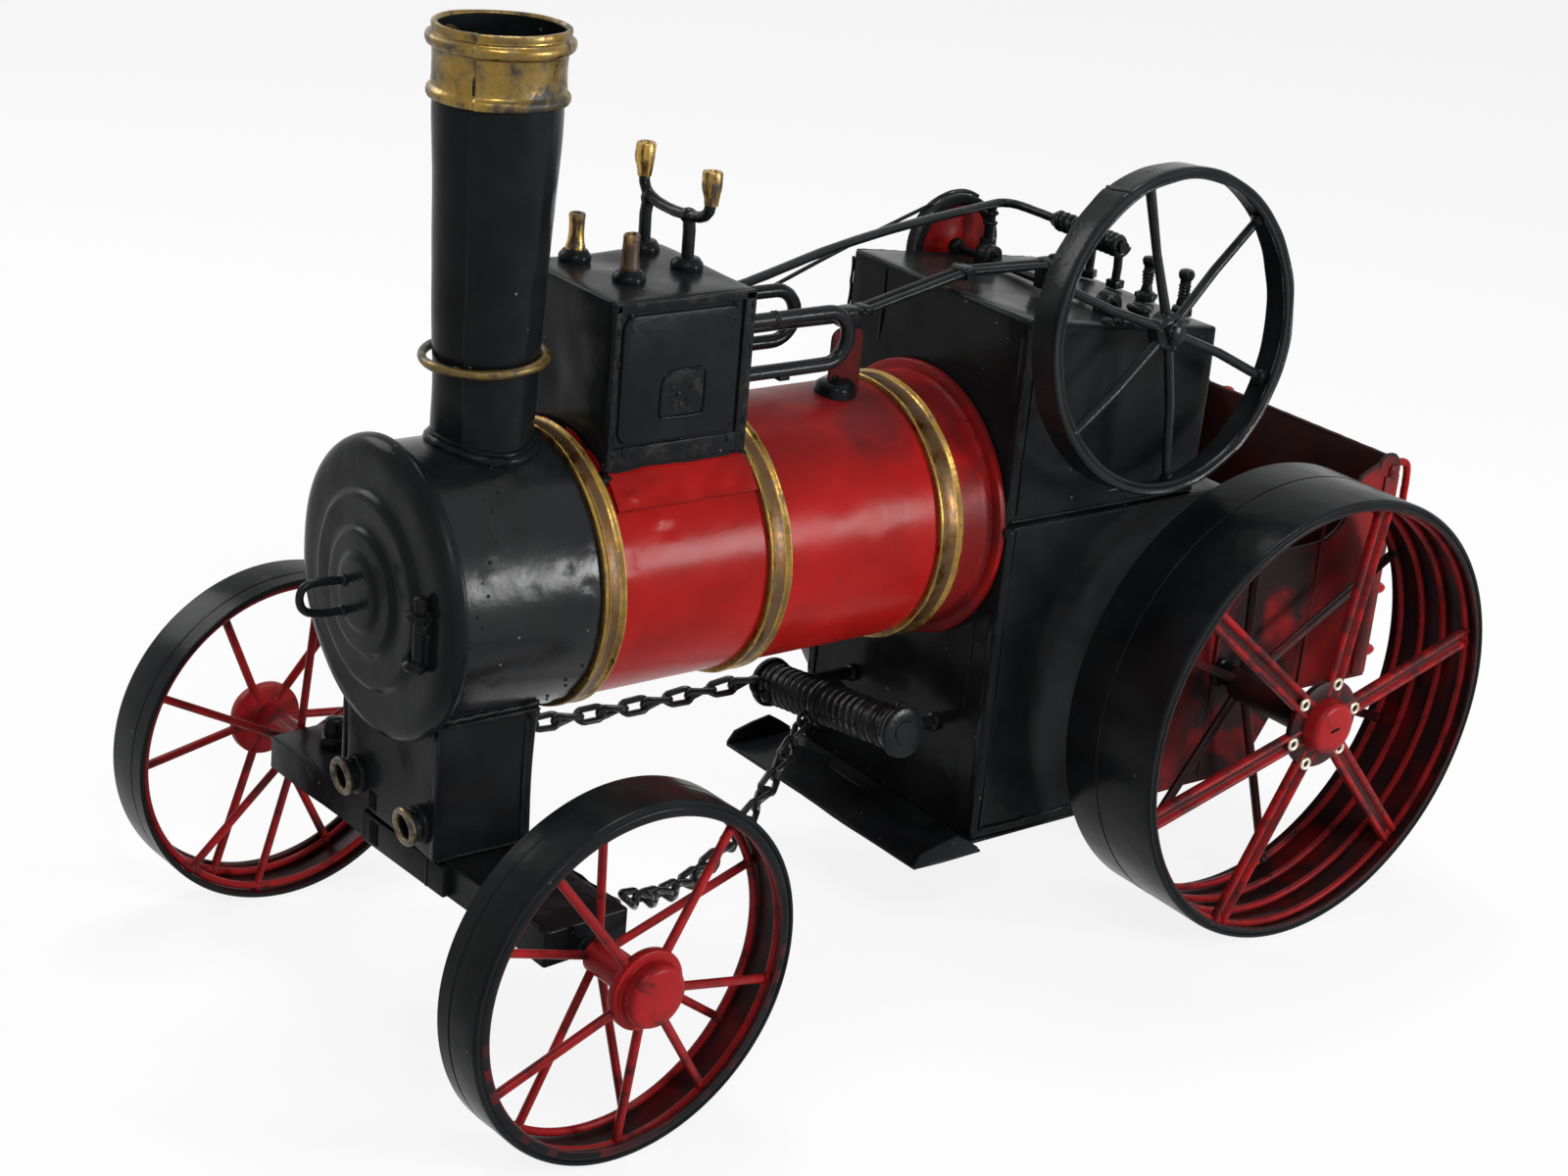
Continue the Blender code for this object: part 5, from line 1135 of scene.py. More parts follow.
def makeStuds():
    for kind, owners, profileOf, depth, seed in (
            ("chestStud", ("chest_stud_near", "chest_stud_far"), studProfile, 0.35, 3.0),
            ("yokeCap", ("yoke_cap_near", "yoke_cap_far"), capProfile, 0.3, 5.0)):
        for number, node in enumerate(owners):
            low, high = boxOf(node)
            place = moved((middleOf(low.x, high.x), middleOf(low.y, high.y), low.z))
            whole = bmesh.new()
            join(whole, turned(profileOf(high.z - low.z), 32), place)
            handMade(whole, depth, 260, seed + number)
            makePiece("%s_%d" % (kind, number + 1), whole, (studBrass,), "chassis", (node,))


def makeYoke():
    whole = bmesh.new()
    y, high, base = -59.5, 186.6, 176.9
    path = [(-18.5, y, high + 5.2), (-18.3, y, high + 2.6), (-15.8, y, high + 0.1), (-8.0, y, high - 0.9),
            (0.0, y, high - 0.4), (5.4, y, high + 0.4), (7.8, y, high + 2.4), (8.0, y, high + 5.0)]
    join(whole, bentRod(softened(path, 3), 1.3, 14, uneven=0.12))
    for x, foot in ((0.0, -59.0), (-16.0, -60.0)):
        join(whole, bentRod([(x, foot, base - 1.0), (x + 0.1, foot - 0.2, base + 6), (x, y, high)], 1.45, 14,
                            uneven=0.12))
        join(whole, blob((x, y, high - 0.3), 1.9))
    return makePiece("wireYoke", whole, (blackWire,), "chassis", ("valve_yoke",))


makeChest()
makeSaddle()
makeStuds()
makeYoke()
print("steam chest done")


# slide loops, piston rod and connecting rods

def makeLoops():
    for name, x, drop, shorter in (("near", 14.0, 7.9, 0.5), ("far", -8.0, 8.9, -0.5)):
        top = chest["gear"] - drop
        bottom, reach, bend = top - 12.5, chest["rear"] + 25.5 - shorter, 6.25
        foot = chest["rear"] - 0.2
        path = [(x, foot, top), (x, reach - 8, top), (x, reach, top)]
        path += arcPoints((x, reach, top - bend), bend, 80, -80, 16)
        path += [(x, reach, bottom), (x, reach - 8, bottom), (x, foot, bottom)]
        whole = bmesh.new()
        join(whole, bentRod(path, 1.7, 18, uneven=0.08))
        for y in (chest["rear"] + 9.0, chest["rear"] + 9.9):
            join(whole, hoop(1.65, 0.3, 20, 6), along("Y", (x, y, top)))
        for z in (top, bottom):
            join(whole, hoop(1.8, 0.8, 20, 8), along("Y", (x, chest["rear"] + 0.5, z)))
        join(whole, block((2.6, 3.0, 1.8), (x, chest["rear"] + 13.0, bottom - 1.4), 0.3))
        makePiece("slideLoop_" + name, whole, (blackWire,), "chassis", ("slide_loop_" + name,))


def makePiston():
    whole = bmesh.new()
    z, head = chest["gear"] - 13.9, chest["rear"] + 40.5
    join(whole, bentRod([(2, chest["rear"], z), (2.1, chest["rear"] + 20, z + 0.2), (2, head, z)], 1.35, 14,
                        uneven=0.08))
    join(whole, block((5.2, 5.0, 5.0), (2, head, z), 0.9))
    join(whole, bar((-1.4, head, z), (5.4, head, z), 1.5, 16))
    handMade(whole, 0.3, 300, 1.0)
    makePiece("pistonRod", whole, (blackWire,), "chassis", ("piston_rod",))


def makeBracket():
    whole = bmesh.new()
    low, high = boxOf("crosshead_bracket")
    y, foot = middleOf(low.y, high.y), 140.7
    part = block((1.1, 9.0, high.z - foot + 3), (2, y + 0.6, (high.z + foot - 3) / 2), 0)
    rounded(part, [e for e in edgesAlongX(part) if e.verts[0].co.z > (foot + 2) * mm], 2.8, 5)
    join(whole, part)
    join(whole, blob((2.0, y - 0.4, 141.2), 2.1, (1.2, 1.8, 0.8)))
    boss = [(0, 2.4), (2.6, 2.3), (3.9, 2.0), (4.7, 1.4), (5.0, 0.6), (5.1, -0.4), (5.1, -3.0), (0, -3.0)]
    join(whole, turned(boss, 40), moved((2.6, y - 2.0, 141.0)), 1)
    join(whole, blob((1.6, y - 2.2, 143.6), 1.6, (1, 1, 0.8)), finish=1)
    handMade(whole, 0.35, 220, 5.0)
    makePiece("crossheadFin", whole, (barrelRed, blackEnamel), "chassis", ("crosshead_bracket",))


def makeRods():
    whole = bmesh.new()
    head, z = chest["rear"] + 40.5, chest["gear"] - 13.9
    joint = Vector((2.0, 22.2, 166.3))
    end = Vector((2.0, crank["y"] - 2.5, crank["z"] + 5.4))
    for shift in (-1.35, 1.35):
        path = [Vector((2.0 + shift, head + 2.8, z + 1.0)), joint + Vector((shift, -2.0, -0.3)),
                joint + Vector((shift, 2.0, 0.1)), Vector((2.0 + shift, end.y, end.z))]
        join(whole, bentRod(path, 1.0, 12, uneven=0.08))
    join(whole, block((4.9, 4.0, 3.0), joint, 0.7))
    join(whole, bar(joint + Vector((-3.2, 0, 0)), joint + Vector((3.2, 0, 0)), 1.3, 16))
    join(whole, block((5.0, 3.0, 2.4), (2.0, head + 4.6, z + 1.3), 0.6))
    for dy in (-2.7, 2.7):
        join(whole, block((5.2, 1.7, 7.0), (2.0, crank["y"] + dy, crank["z"] + 2.5), 0.4))
    join(whole, block((5.2, 7.2, 3.4), (2.0, crank["y"], crank["z"] + 5.1), 0.8))
    join(whole, blob((2.0, crank["y"] + 0.3, crank["z"] + 6.7), 1.6, (1.2, 1, 0.7)))
    handMade(whole, 0.3, 240, 3.7)
    makePiece("connectingRods", whole, (blackWire,), "chassis", ("connecting_rods",))


makeLoops()
makePiston()
makeBracket()
makeRods()
print("motion done")


# upper box, lower body and tray

cab = {"half": 33.8, "front": 16.7, "rear": 79.9, "frontTop": 163.2, "rearTop": 155.5, "low": 112.3}
hull = {"half": 35.3, "front": 16.7, "rear": 92.0, "top": 112.0, "low": 28.0}


def roofZ(y):
    share = (y - cab["front"]) / (cab["rear"] - cab["front"])
    return cab["frontTop"] + share * (cab["rearTop"] - cab["frontTop"])


def makeCab():
    whole = bmesh.new()
    part = sheetBox((-cab["half"], cab["front"], cab["low"]), (cab["half"], cab["rear"], cab["frontTop"]),
                    1.0, 15, [(0, 0, -1)])
    for vert in part.verts:
        share = max(0, (vert.co.z / mm - 140) / (cab["frontTop"] - 140))
        vert.co.z += (roofZ(vert.co.y / mm) - cab["frontTop"]) * mm * share
    addSheet(whole, part)
    whole.normal_update()
    addDents(whole, (((33.8, 50, 135), 14, 0.7), ((33.8, 30, 148), 9, -0.4), ((0, 45, 160), 14, 0.5),
                     ((20, 30, 161), 8, -0.4), ((-20, 16.7, 150), 9, 0.5), ((10, 79.9, 135), 14, 0.7),
                     ((-33.8, 45, 140), 14, 0.8)))
    handMade(whole, 0.5, 40, 21.0)
    x, f = cab["half"], cab["front"]
    # the folded joint strips of the sheets, and beads of solder along them
    addStrips(whole, (((x - 2.2, f - 0.25, 114), (x + 0.0, f + 0.15, 161.5)),
                      ((-20.9, f - 0.3, 143), (-20.1, f + 0.2, 161.5)),
                      ((x - 0.2, f + 3.0, 114), (x + 0.3, f + 3.5, 160)),
                      ((x - 0.2, 74.4, 113), (x + 0.2, 74.9, 154)),
                      ((-x - 0.3, f + 3.0, 114), (-x + 0.2, f + 3.5, 160)),
                      ((-12, 79.6, 113), (-11.4, 80.2, 154))))
    for side in (1, -1):
        line = [(side * (x + 0.1), y, roofZ(y) - 0.5 + 0.06 * math.sin(y * 1.3)) for y in range(18, 80, 2)]
        join(whole, bentRod(line, 0.42, 8, uneven=0.1))
        line = [(side * (x + 0.3), y, 112.9 + 0.05 * math.sin(y * 2.3)) for y in range(18, 80, 2)]
        join(whole, bentRod(line, 0.4, 8, uneven=0.1))
        line = [(side * (x - 0.1), f + 0.1 + 0.1 * math.sin(z), z) for z in range(115, 162, 2)]
        join(whole, bentRod(line, 0.4, 8, uneven=0.2))
    for y in (42.5, 46.5):
        join(whole, blob((x - 1.0, y, roofZ(y) + 0.3), 1.4, (1.2, 1, 0.8)))
    join(whole, hoop(2.3, 0.9, 24, 10), moved((21, 64.5, roofZ(64.5) + 0.8)) @ Matrix.Rotation(-0.12, 4, "X"))
    join(whole, blob((21, 64.5, roofZ(64.5) + 0.5), 1.7))
    join(whole, blob((x, 52, 116.5), 1.2, (0.6, 3.5, 0.7)))
    return makePiece("upperBox", whole, (blackEnamel,), "chassis", ("cab_box",), 50)


def makeHull():
    whole = bmesh.new()
    part = sheetBox((-hull["half"], hull["front"], hull["low"]), (hull["half"], hull["rear"], hull["top"]),
                    1.0, 17, [(0, 0, -1)])
    addSheet(whole, part)
    whole.normal_update()
    x, f = hull["half"], hull["front"]
    addDents(whole, (((x, 45, 80), 18, 0.7), ((x, 30, 60), 10, -0.4), ((x, 60, 50), 14, 0.6),
                     ((0, f, 60), 14, 0.5), ((25, f, 90), 10, 0.4), ((-x, 50, 70), 20, 0.9),
                     ((x - 2, f, 100), 5, 0.4)))
    handMade(whole, 0.5, 36, 25.0)
    addStrips(whole, (((x - 2.4, f - 0.25, 30), (x - 0.1, f + 0.15, 111)),
                      ((x - 0.15, f + 2.4, 30), (x + 0.3, f + 2.9, 111)),
                      ((-x + 0.1, f - 0.25, 30), (-x + 2.4, f + 0.15, 111)),
                      ((-x - 0.3, f + 2.4, 30), (-x + 0.15, f + 2.9, 111)),
                      ((x - 8.5, f - 0.2, 30), (x - 8.0, f + 0.2, 88))))
    for side in (1, -1):
        line = [(side * (x + 0.05), y, 111.6 + 0.15 * math.sin(y * 1.7)) for y in range(18, 92, 2)]
        join(whole, bentRod(line, 0.35, 8, uneven=0.1))
        line = [(side * (x - 0.2), f + 0.1 * math.sin(z), z) for z in range(30, 111, 2)]
        join(whole, bentRod(line, 0.42, 8, uneven=0.2))
        line = [(side * (x + 0.1), y, 30.4 + 0.2 * math.sin(y * 2.1)) for y in range(20, 70, 2)]
        join(whole, bentRod(line, 0.4, 8, uneven=0.25))
    line = [(across, f - 0.1, 111.9 + 0.2 * math.sin(across * 1.7)) for across in range(-34, 35, 2)]
    join(whole, bentRod(line, 0.4, 8, uneven=0.1))
    join(whole, blob((x - 0.5, f + 0.2, 110.5), 1.5, rough=0.5))
    return makePiece("lowerBody", whole, (blackEnamel,), "chassis", ("firebox_body",), 50)


def makeTray():
    whole = bmesh.new()
    z = hull["low"] - 0.8
    part = sheetBox((-39.9, -5.2, z - 0.5), (39.9, 16.7, z + 0.5), 0.35, 11)
    join(whole, part, dist=0.000001)
    join(whole, block((70.6, 81, 1.0), (0, 51.4, z), 0.3))
    # bent-up side lips, highest in the middle
    outline = [(-5.2, 26.8), (15.7, 26.8), (15.7, 28.6), (12.0, 31.2), (8.2, 33.4), (2.5, 32.4), (-3.1, 30.9),
               (-5.2, 28.1)]
    for side in (1, -1):
        lip = extruded(outline, 0.95)
        rounded(lip, lip.edges, 0.25, 2)
        join(whole, lip, sideways(39.0 if side > 0 else -39.95))
    handMade(whole, 0.4, 60, 14.0)
    return makePiece("ashTray", whole, (blackEnamel,), "chassis", ("ash_tray",), 50)


makeCab()
makeHull()
makeTray()
print("boxes done")


# crankshaft, bearings and roof fittings

def makeShaft():
    whole = bmesh.new()
    low, high = boxOf("crankshaft")
    path = [(low.x + (high.x - low.x) * i / 12, crank["y"], crank["z"]) for i in range(13)]
    join(whole, bentRod(path, 1.07, 14, uneven=0.04))
    makePiece("crankWire", whole, (blackWire,), "flywheel", ("crankshaft",))
    y, z = crank["y"], crank["z"]
    for name in ("near", "far"):
        low, high = boxOf("crank_bearing_" + name)
        foot, wide = low.z, high.x - low.x
        # a strap folded over the shaft
        outer = arcPairs(0, z + 0.8, 3.1, range(0, 181, 15))
        inner = arcPairs(0, z, 1.6, range(180, -1, -15))
        outline = [(3.1, foot)] + outer + [(-3.1, foot), (-1.6, foot)] + inner + [(1.6, foot)]
        strap = extruded([(y + a, b) for a, b in outline], wide)
        rounded(strap, strap.edges, 0.2, 2)
        whole = bmesh.new()
        join(whole, strap, sideways(low.x))
        for dy in (-2.3, 2.3):
            join(whole, blob((middleOf(low.x, high.x), y + dy, foot + 0.9), 1.1, (1.5, 0.8, 0.8)))
        handMade(whole, 0.2, 300, 6.0)
        makePiece("crankBearing_" + name, whole, (blackEnamel,), "chassis", ("crank_bearing_" + name,))


def footNut(whole, x, y, z, radius, height):
    nut = block((2 * radius, 1.8 * radius, height), (0, 0, height / 2), 0.35, 2)
    join(whole, nut, moved((x, y, z)) @ Matrix.Rotation(x * 3.1, 4, "Z"))


def makeRoofFittings():
    low, high = boxOf("roof_drum")
    y, z, foot = middleOf(low.y, high.y), high.z - 3.2, low.z
    whole = bmesh.new()
    coil = winding((low.x + 1.0, y, z), (high.x - 1.0, y, z), 2.05, 6, 16)
    join(whole, bentRod(coil, 1.02, 10, uneven=0.05))
    join(whole, bar((low.x, y, z), (high.x, y, z), 1.6, 20))
    for x in (-11.0, -1.0):
        join(whole, bentRod([(x, y, foot), (x + 0.1, y + 0.1, foot + 5), (x, y, z)], 1.15, 12, uneven=0.08))
        footNut(whole, x, y, foot - 0.2, 1.9, 2.2)
    join(whole, blob((-11.4, y, z + 0.4), 1.7))
    handMade(whole, 0.2, 260, 2.0)
    makePiece("roofCoil", whole, (blackWire,), "chassis", ("roof_drum",))
    for name in ("near", "far"):
        low, high = boxOf("roof_lever_" + name)
        x, y, foot, tall = middleOf(low.x, high.x), middleOf(low.y, high.y), low.z, high.z - low.z
        whole = bmesh.new()
        rings = [(1.5, 3.0), (1.3, 4.0)] + [p for k in range(4)
                                            for p in ((1.6, 4.3 + k * 0.9), (1.35, 4.75 + k * 0.9))]
        knob = [(1.4, tall - 2.6), (1.75, tall - 2.3), (2.05, tall - 1.6), (2.1, tall - 0.9),
                (1.7, tall - 0.2), (0.9, tall), (0, tall)]
        profile = [(0, -0.3), (2.6, -0.3), (2.65, 1.0), (2.3, 1.7), (1.6, 2.1)] + rings + knob
        join(whole, turned(profile, 28), moved((x, y, foot)))
        footNut(whole, x, y, foot + 0.2, 2.3, 1.5)
        handMade(whole, 0.25, 300, x * 0.9)
        makePiece("roofLever_" + name, whole, (blackWire,), "chassis", ("roof_lever_" + name,))


throttle = {"z": 172.5, "y": 64.0, "postX": -30.0, "postY": 58.0, "sleeve": (-12.2, 1.0)}


def makeThrottle():
    whole = bmesh.new()
    z, y = throttle["z"], throttle["y"]
    path = [(6.4, -52.7, 170.4), (6.4, -49.0, 170.4), (-10.0, -2.0, 173.8), (-29.6, 57.0, z),
            (-30.2, 61.4, z), (-27.4, 64.2, z), (-18.0, y, z), (2.0, y, z)]
    join(whole, bentRod(softened(path, 3), 1.15, 14, uneven=0.09))
    join(whole, hoop(1.5, 0.7, 24, 8), along("Y", (6.4, -52.0, 170.4)))
    foot = boxOf("throttle_rod")[0].z
    post = [(0, z + 0.6), (1.1, z + 0.5), (1.5, z - 0.2), (1.35, z - 1.6), (1.3, foot + 4.8),
            (2.0, foot + 4.6), (2.2, foot + 4.0), (2.15, foot + 3.2), (1.7, foot + 2.9), (2.5, foot + 2.6),
            (2.8, foot + 2.0), (2.85, foot + 0.6), (2.6, foot), (0, foot)]
    place = moved((throttle["postX"], throttle["postY"], 0))
    join(whole, turned(post, 28), place)
    for h in (z - 5.0, z - 2.4):
        join(whole, hoop(1.5, 0.5, 24, 8), place @ moved((0, 0, h)))
    makePiece("throttleWire", whole, (blackWire,), "chassis", ("throttle_rod",))
    low, high = throttle["sleeve"]
    whole = bmesh.new()
    coil = winding((low + 1.1, y, z), (high - 1.1, y, z), 1.75, 5, 16)
    join(whole, bentRod(coil, 0.95, 10, uneven=0.06))
    for x in (low + 0.4, high - 0.4):
        join(whole, hoop(1.5, 0.5, 24, 8), along("X", (x, y, z)))
    makePiece("throttleCoil", whole, (blackWire,), "chassis", ("throttle_sleeve",))


def makeBelt():
    whole = bmesh.new()
    low, high = boxOf("belt_pulley")
    x, r = middleOf(low.x, high.x), (high.z - low.z) / 2 + 0.5
    path = arcPoints((x, crank["y"], crank["z"]), r, 60, 128, 14)
    leave, arrive = path[-1].copy(), Vector((-15.0, -52.7, 150.0))
    for i in range(1, 21):
        share = i / 20
        path.append(leave.lerp(arrive, share) + Vector((0, 0, 4.0 * share * (1 - share))))
    join(whole, bentRod(path, 0.52, 10, uneven=0.06))
    join(whole, hoop(0.9, 0.4, 16, 6), along("Y", arrive + Vector((0, 0.5, 0))))
    makePiece("beltLoop", whole, (blackWire,), "chassis", ("belt_wire",))


makeShaft()
makeRoofFittings()
makeThrottle()
makeBelt()
print("roof done")


# bunker with its handles and steps

bunker = {"half": 36.6, "sheet": 1.0, "front": 78.5, "rear": 155.5, "floor": 48.4, "sideTop": 91.0,
          "cornerTop": 113.0}


def sheetPlate(outline, thickness, step):
    # a flat sheet cut to the outline with enough faces for waves
    part = extruded(outline, thickness)
    for way in (0, 1):
        values = [point[way] for point in outline]
        place = min(values) + step
        while place < max(values):
            point = Vector((0, 0, 0))
            point[way] = place * mm
            normal = Vector((0, 0, 0))
            normal[way] = 1
            bmesh.ops.bisect_plane(part, geom=list(part.verts) + list(part.edges) + list(part.faces),
                                   plane_co=point, plane_no=normal, dist=0.00001)
            place += step
    return part


def makeBunker():
    whole = bmesh.new()
    look = bunker
    rear, top = look["rear"], look["cornerTop"]
    corner = arcPairs(rear - 4, top - 4, 4, range(0, 181, 20))
    sweep = arcPairs(126.5, 104, 13, range(0, -91, -10))
    hump = [(147.4, 110.5), (141.5, 108.2)]
    outline = [(look["front"], 28), (110.5, 28), (124.5, 48), (rear, 48)] + corner
    outline += hump + sweep + [(look["front"], look["sideTop"])]
    for side in (1, -1):
        x = look["half"] - look["sheet"] if side > 0 else -look["half"]
        join(whole, sheetPlate(outline, look["sheet"], 5.0), sideways(x), dist=0.000001)
    inner = look["half"] - 0.5
    join(whole, sheetBox((-inner, rear - 1.2, look["floor"]), (inner, rear - 0.2, top - 2), 0.3, 11),
         dist=0.000001)
    join(whole, sheetBox((-inner, 93.0, look["floor"]), (inner, rear - 1, look["floor"] + 1), 0.3, 9),
         dist=0.000001)
    for face in whole.faces:
        middle = face.calc_center_median() / mm
        inward = face.normal.x * middle.x < 0 and abs(face.normal.x) > 0.9
        if inward or (face.normal.y < -0.9 and middle.y > 150) or (face.normal.z > 0.9 and middle.z < 60):
            face.material_index = 1
    whole.normal_update()
    addDents(whole, (((36.6, 100, 70), 16, 0.8), ((36.6, 135, 75), 14, -0.5), ((36.6, 118, 52), 10, 0.5),
                     ((0, 155.3, 80), 22, 1.0), ((-36.6, 110, 70), 18, 0.9), ((20, 155.3, 60), 12, -0.5)))
    handMade(whole, 0.5, 38, 31.0)
    half = look["half"]
    # folded seams, the rolled top edge and solder along the joints
    addStrips(whole, (((half - 0.1, 94.6, 30), (half + 0.35, 95.5, 90)),
                      ((half - 0.1, 128.6, 49), (half + 0.35, 129.3, 103)),
                      ((half - 0.2, rear - 5.2, 49), (half + 0.5, rear + 0.1, 107)),
                      ((-half - 0.5, rear - 5.2, 49), (-half + 0.2, rear + 0.1, 107)),
                      ((-half - 0.35, 94.6, 30), (-half + 0.1, 95.5, 90)),
                      ((-inner + 4, rear - 0.3, 60), (-inner + 4.8, rear + 0.1, 108)),
                      ((inner - 4.8, rear - 0.3, 60), (inner - 4, rear + 0.1, 108))))
    edge = [(look["front"] + 1, look["sideTop"])] + sweep[::-1] + hump[::-1] + corner[::-1]
    for side in (1, -1):
        line = [(side * (half - 0.5), a, b) for a, b in edge]
        join(whole, bentRod(line, 0.58, 10, uneven=0.1), finish=1)
        seam = [(side * (half - 0.2), rear - 0.1, z + 0.3 * math.sin(z)) for z in range(49, 108, 2)]
        join(whole, bentRod(seam, 0.45, 8, uneven=0.2))
        for spot, size in (((side * (half + 0.3), rear - 2.0, 108.0), 2.2),
                           ((side * (half + 0.2), 95.0, 88.0), 1.2)):
            join(whole, blob(spot, size, (0.35, 1, 1)))
    line = [(x, rear - 0.7, 111.0 + 0.04 * math.sin(x)) for x in range(-35, 36, 2)]
    join(whole, bentRod(line, 0.58, 10, uneven=0.04), finish=1)
    return makePiece("bunkerTub", whole, (tubRed, tubInside), "chassis", ("tender_tub",), 50)


def makeRearWire(name, node, path):
    # a bent wire soldered to the tub's back at both ends
    whole = bmesh.new()
    join(whole, bentRod(softened(path, 3), 1.05, 12, uneven=0.1))
    for x, y, z in (path[0], path[-1]):
        join(whole, blob((x, y + 0.4, z), 1.7, (1, 0.6, 1)))
    makePiece(name, whole, (barrelRed,), "chassis", (node,))


def makeRearLoops():
    foot = bunker["rear"] + 0.3
    for name in ("near", "far"):
        low, high = boxOf("tender_handle_" + name)
        x, top, bottom, reach = middleOf(low.x, high.x), high.z - 1.1, low.z + 1.1, high.y - 1.1
        makeRearWire("rearHandle_" + name, "tender_handle_" + name, [
            (x, foot, top), (x, reach - 2.2, top + 0.1), (x, reach - 0.2, top - 1.4),
            (x + 0.2, reach, middleOf(top, bottom)), (x, reach - 0.2, bottom + 1.4), (x, reach - 2.2, bottom),
            (x, foot, bottom)])
    for name in ("upper", "lower"):
        low, high = boxOf("tender_step_" + name)
        left, right, z, reach = low.x + 1.1, high.x - 1.1, middleOf(low.z, high.z), high.y - 1.1
        makeRearWire("rearStep_" + name, "tender_step_" + name, [
            (right, foot, z), (right, reach - 2.2, z), (right - 1.4, reach - 0.2, z),
            (middleOf(left, right), reach, z - 0.3), (left + 1.4, reach - 0.2, z), (left, reach - 2.2, z),
            (left, foot, z)])


def makeRearAxle():
    whole = bmesh.new()
    low, high = boxOf("rear_axle")
    y, z = middleOf(low.y, high.y), middleOf(low.z, high.z)
    path = [(low.x + (high.x - low.x) * i / 16, y, z) for i in range(17)]
    join(whole, bentRod(path, 2.95, 24, uneven=0.05))
    for x in (-37.6, 37.6):
        join(whole, hoop(3.3, 0.7, 28, 8), along("X", (x, y, z)))
    return makePiece("rearAxleRod", whole, (blackEnamel,), "chassis", ("rear_axle",))


makeBunker()
makeRearLoops()
makeRearAxle()
print("bunker done")


# front pedestal, axle beam, steering drum and chains

pedestal = {"left": -22.2, "right": 20.0, "face": -130.0, "back": -105.0, "low": 49.4, "high": 92.0,
            "eyes": ((14.2, 56.5), (-15.0, 56.2))}


def makePedestal():
    whole = bmesh.new()
    look = pedestal
    join(whole, sheetBox((look["left"], look["face"], look["low"]),
                         (look["right"], look["back"], look["high"]), 0.5, 11), dist=0.000002)
    whole.normal_update()
    addDents(whole, (((0, look["face"], 66), 12, 0.5), ((look["right"], -117, 66), 11, 0.6),
                     ((-12, look["face"], 74), 7, -0.3), ((look["left"], -118, 64), 10, 0.6),
                     ((0, look["back"], 64), 12, 0.5)))
    handMade(whole, 0.4, 60, 41.0)
    right, left, face, back = look["right"], look["left"], look["face"], look["back"]
    # the front sheet stands over the side sheet, the side has a short flange at its top
    addStrips(whole, (((right - 1.4, face - 0.35, 50), (right + 0.35, face + 0.2, 82)),
                      ((left - 0.35, face - 0.35, 50), (left + 1.2, face + 0.2, 82)),
                      ((right - 0.3, back - 3.0, 50), (right + 0.25, back - 2.2, 80))))
    for side in (1, -1):
        x = right if side > 0 else left
        height = boiler["z"] - math.sqrt(32.0 ** 2 - x * x)
        line = [(x + side * 0.2, y, height + 0.2 * math.sin(y * 1.7)) for y in range(-129, -104, 2)]
        join(whole, bentRod(line, 0.75, 8, uneven=0.3))
        join(whole, block((1.6, 24.0, 0.7), (x + side * 0.7, -117.0, height - 0.9), 0.2))
        join(whole, bentRod([(x + side * 0.1, y, look["low"] + 0.4) for y in range(-129, -105, 3)], 0.5, 8,
                            uneven=0.25))
    join(whole, blob((right + 0.2, back - 1.0, 81.4), 1.4, rough=0.5))
    # a near-black patch of painted shade for the notch in the face
    join(whole, block((3.2, 0.5, 4.4), (-7.6, face - 0.1, 52.6), 0.15), finish=1)
    for x, z in look["eyes"]:
        # an eye ring on a thicker foot ring
        foot = [(2.9, 0.6), (4.2, 0.6), (4.5, 0.2), (4.6, -0.6), (4.45, -1.4), (4.0, -1.7), (3.1, -1.7),
                (2.9, -1.4)]
        join(whole, turned(foot, 36, closed=True), along("Y", (x, face, z)))
        join(whole, hoop(3.75, 0.92, 40, 12), along("Y", (x - 0.2, face - 4.1, z + 0.2))
             @ Matrix.Rotation(0.10, 4, "X"), 2)
        neck = [(2.95, -1.2), (3.7, -1.2), (3.6, -3.8), (2.95, -3.8)]
        join(whole, turned(neck, 36, closed=True), along("Y", (x, face, z)))
        join(whole, blob((x, face - 2.2, z + 3.9), 1.2, (1.2, 1, 0.7)))
        # a near-black disc of painted shade fills the eye's hole
        join(whole, turned([(0, -0.1), (2.9, -0.1), (2.9, 0.3), (0, 0.3)], 24), along("Y", (x, face, z)), 1)
    return makePiece("frontPedestal", whole, (blackEnamel, paintedHoleShade, wornEdge), "chassis", ("pedestal",),
                     50)


beam = {"half": 57.0, "deep": 11.0, "low": 40.5, "high": 48.8, "stub": 80.4}


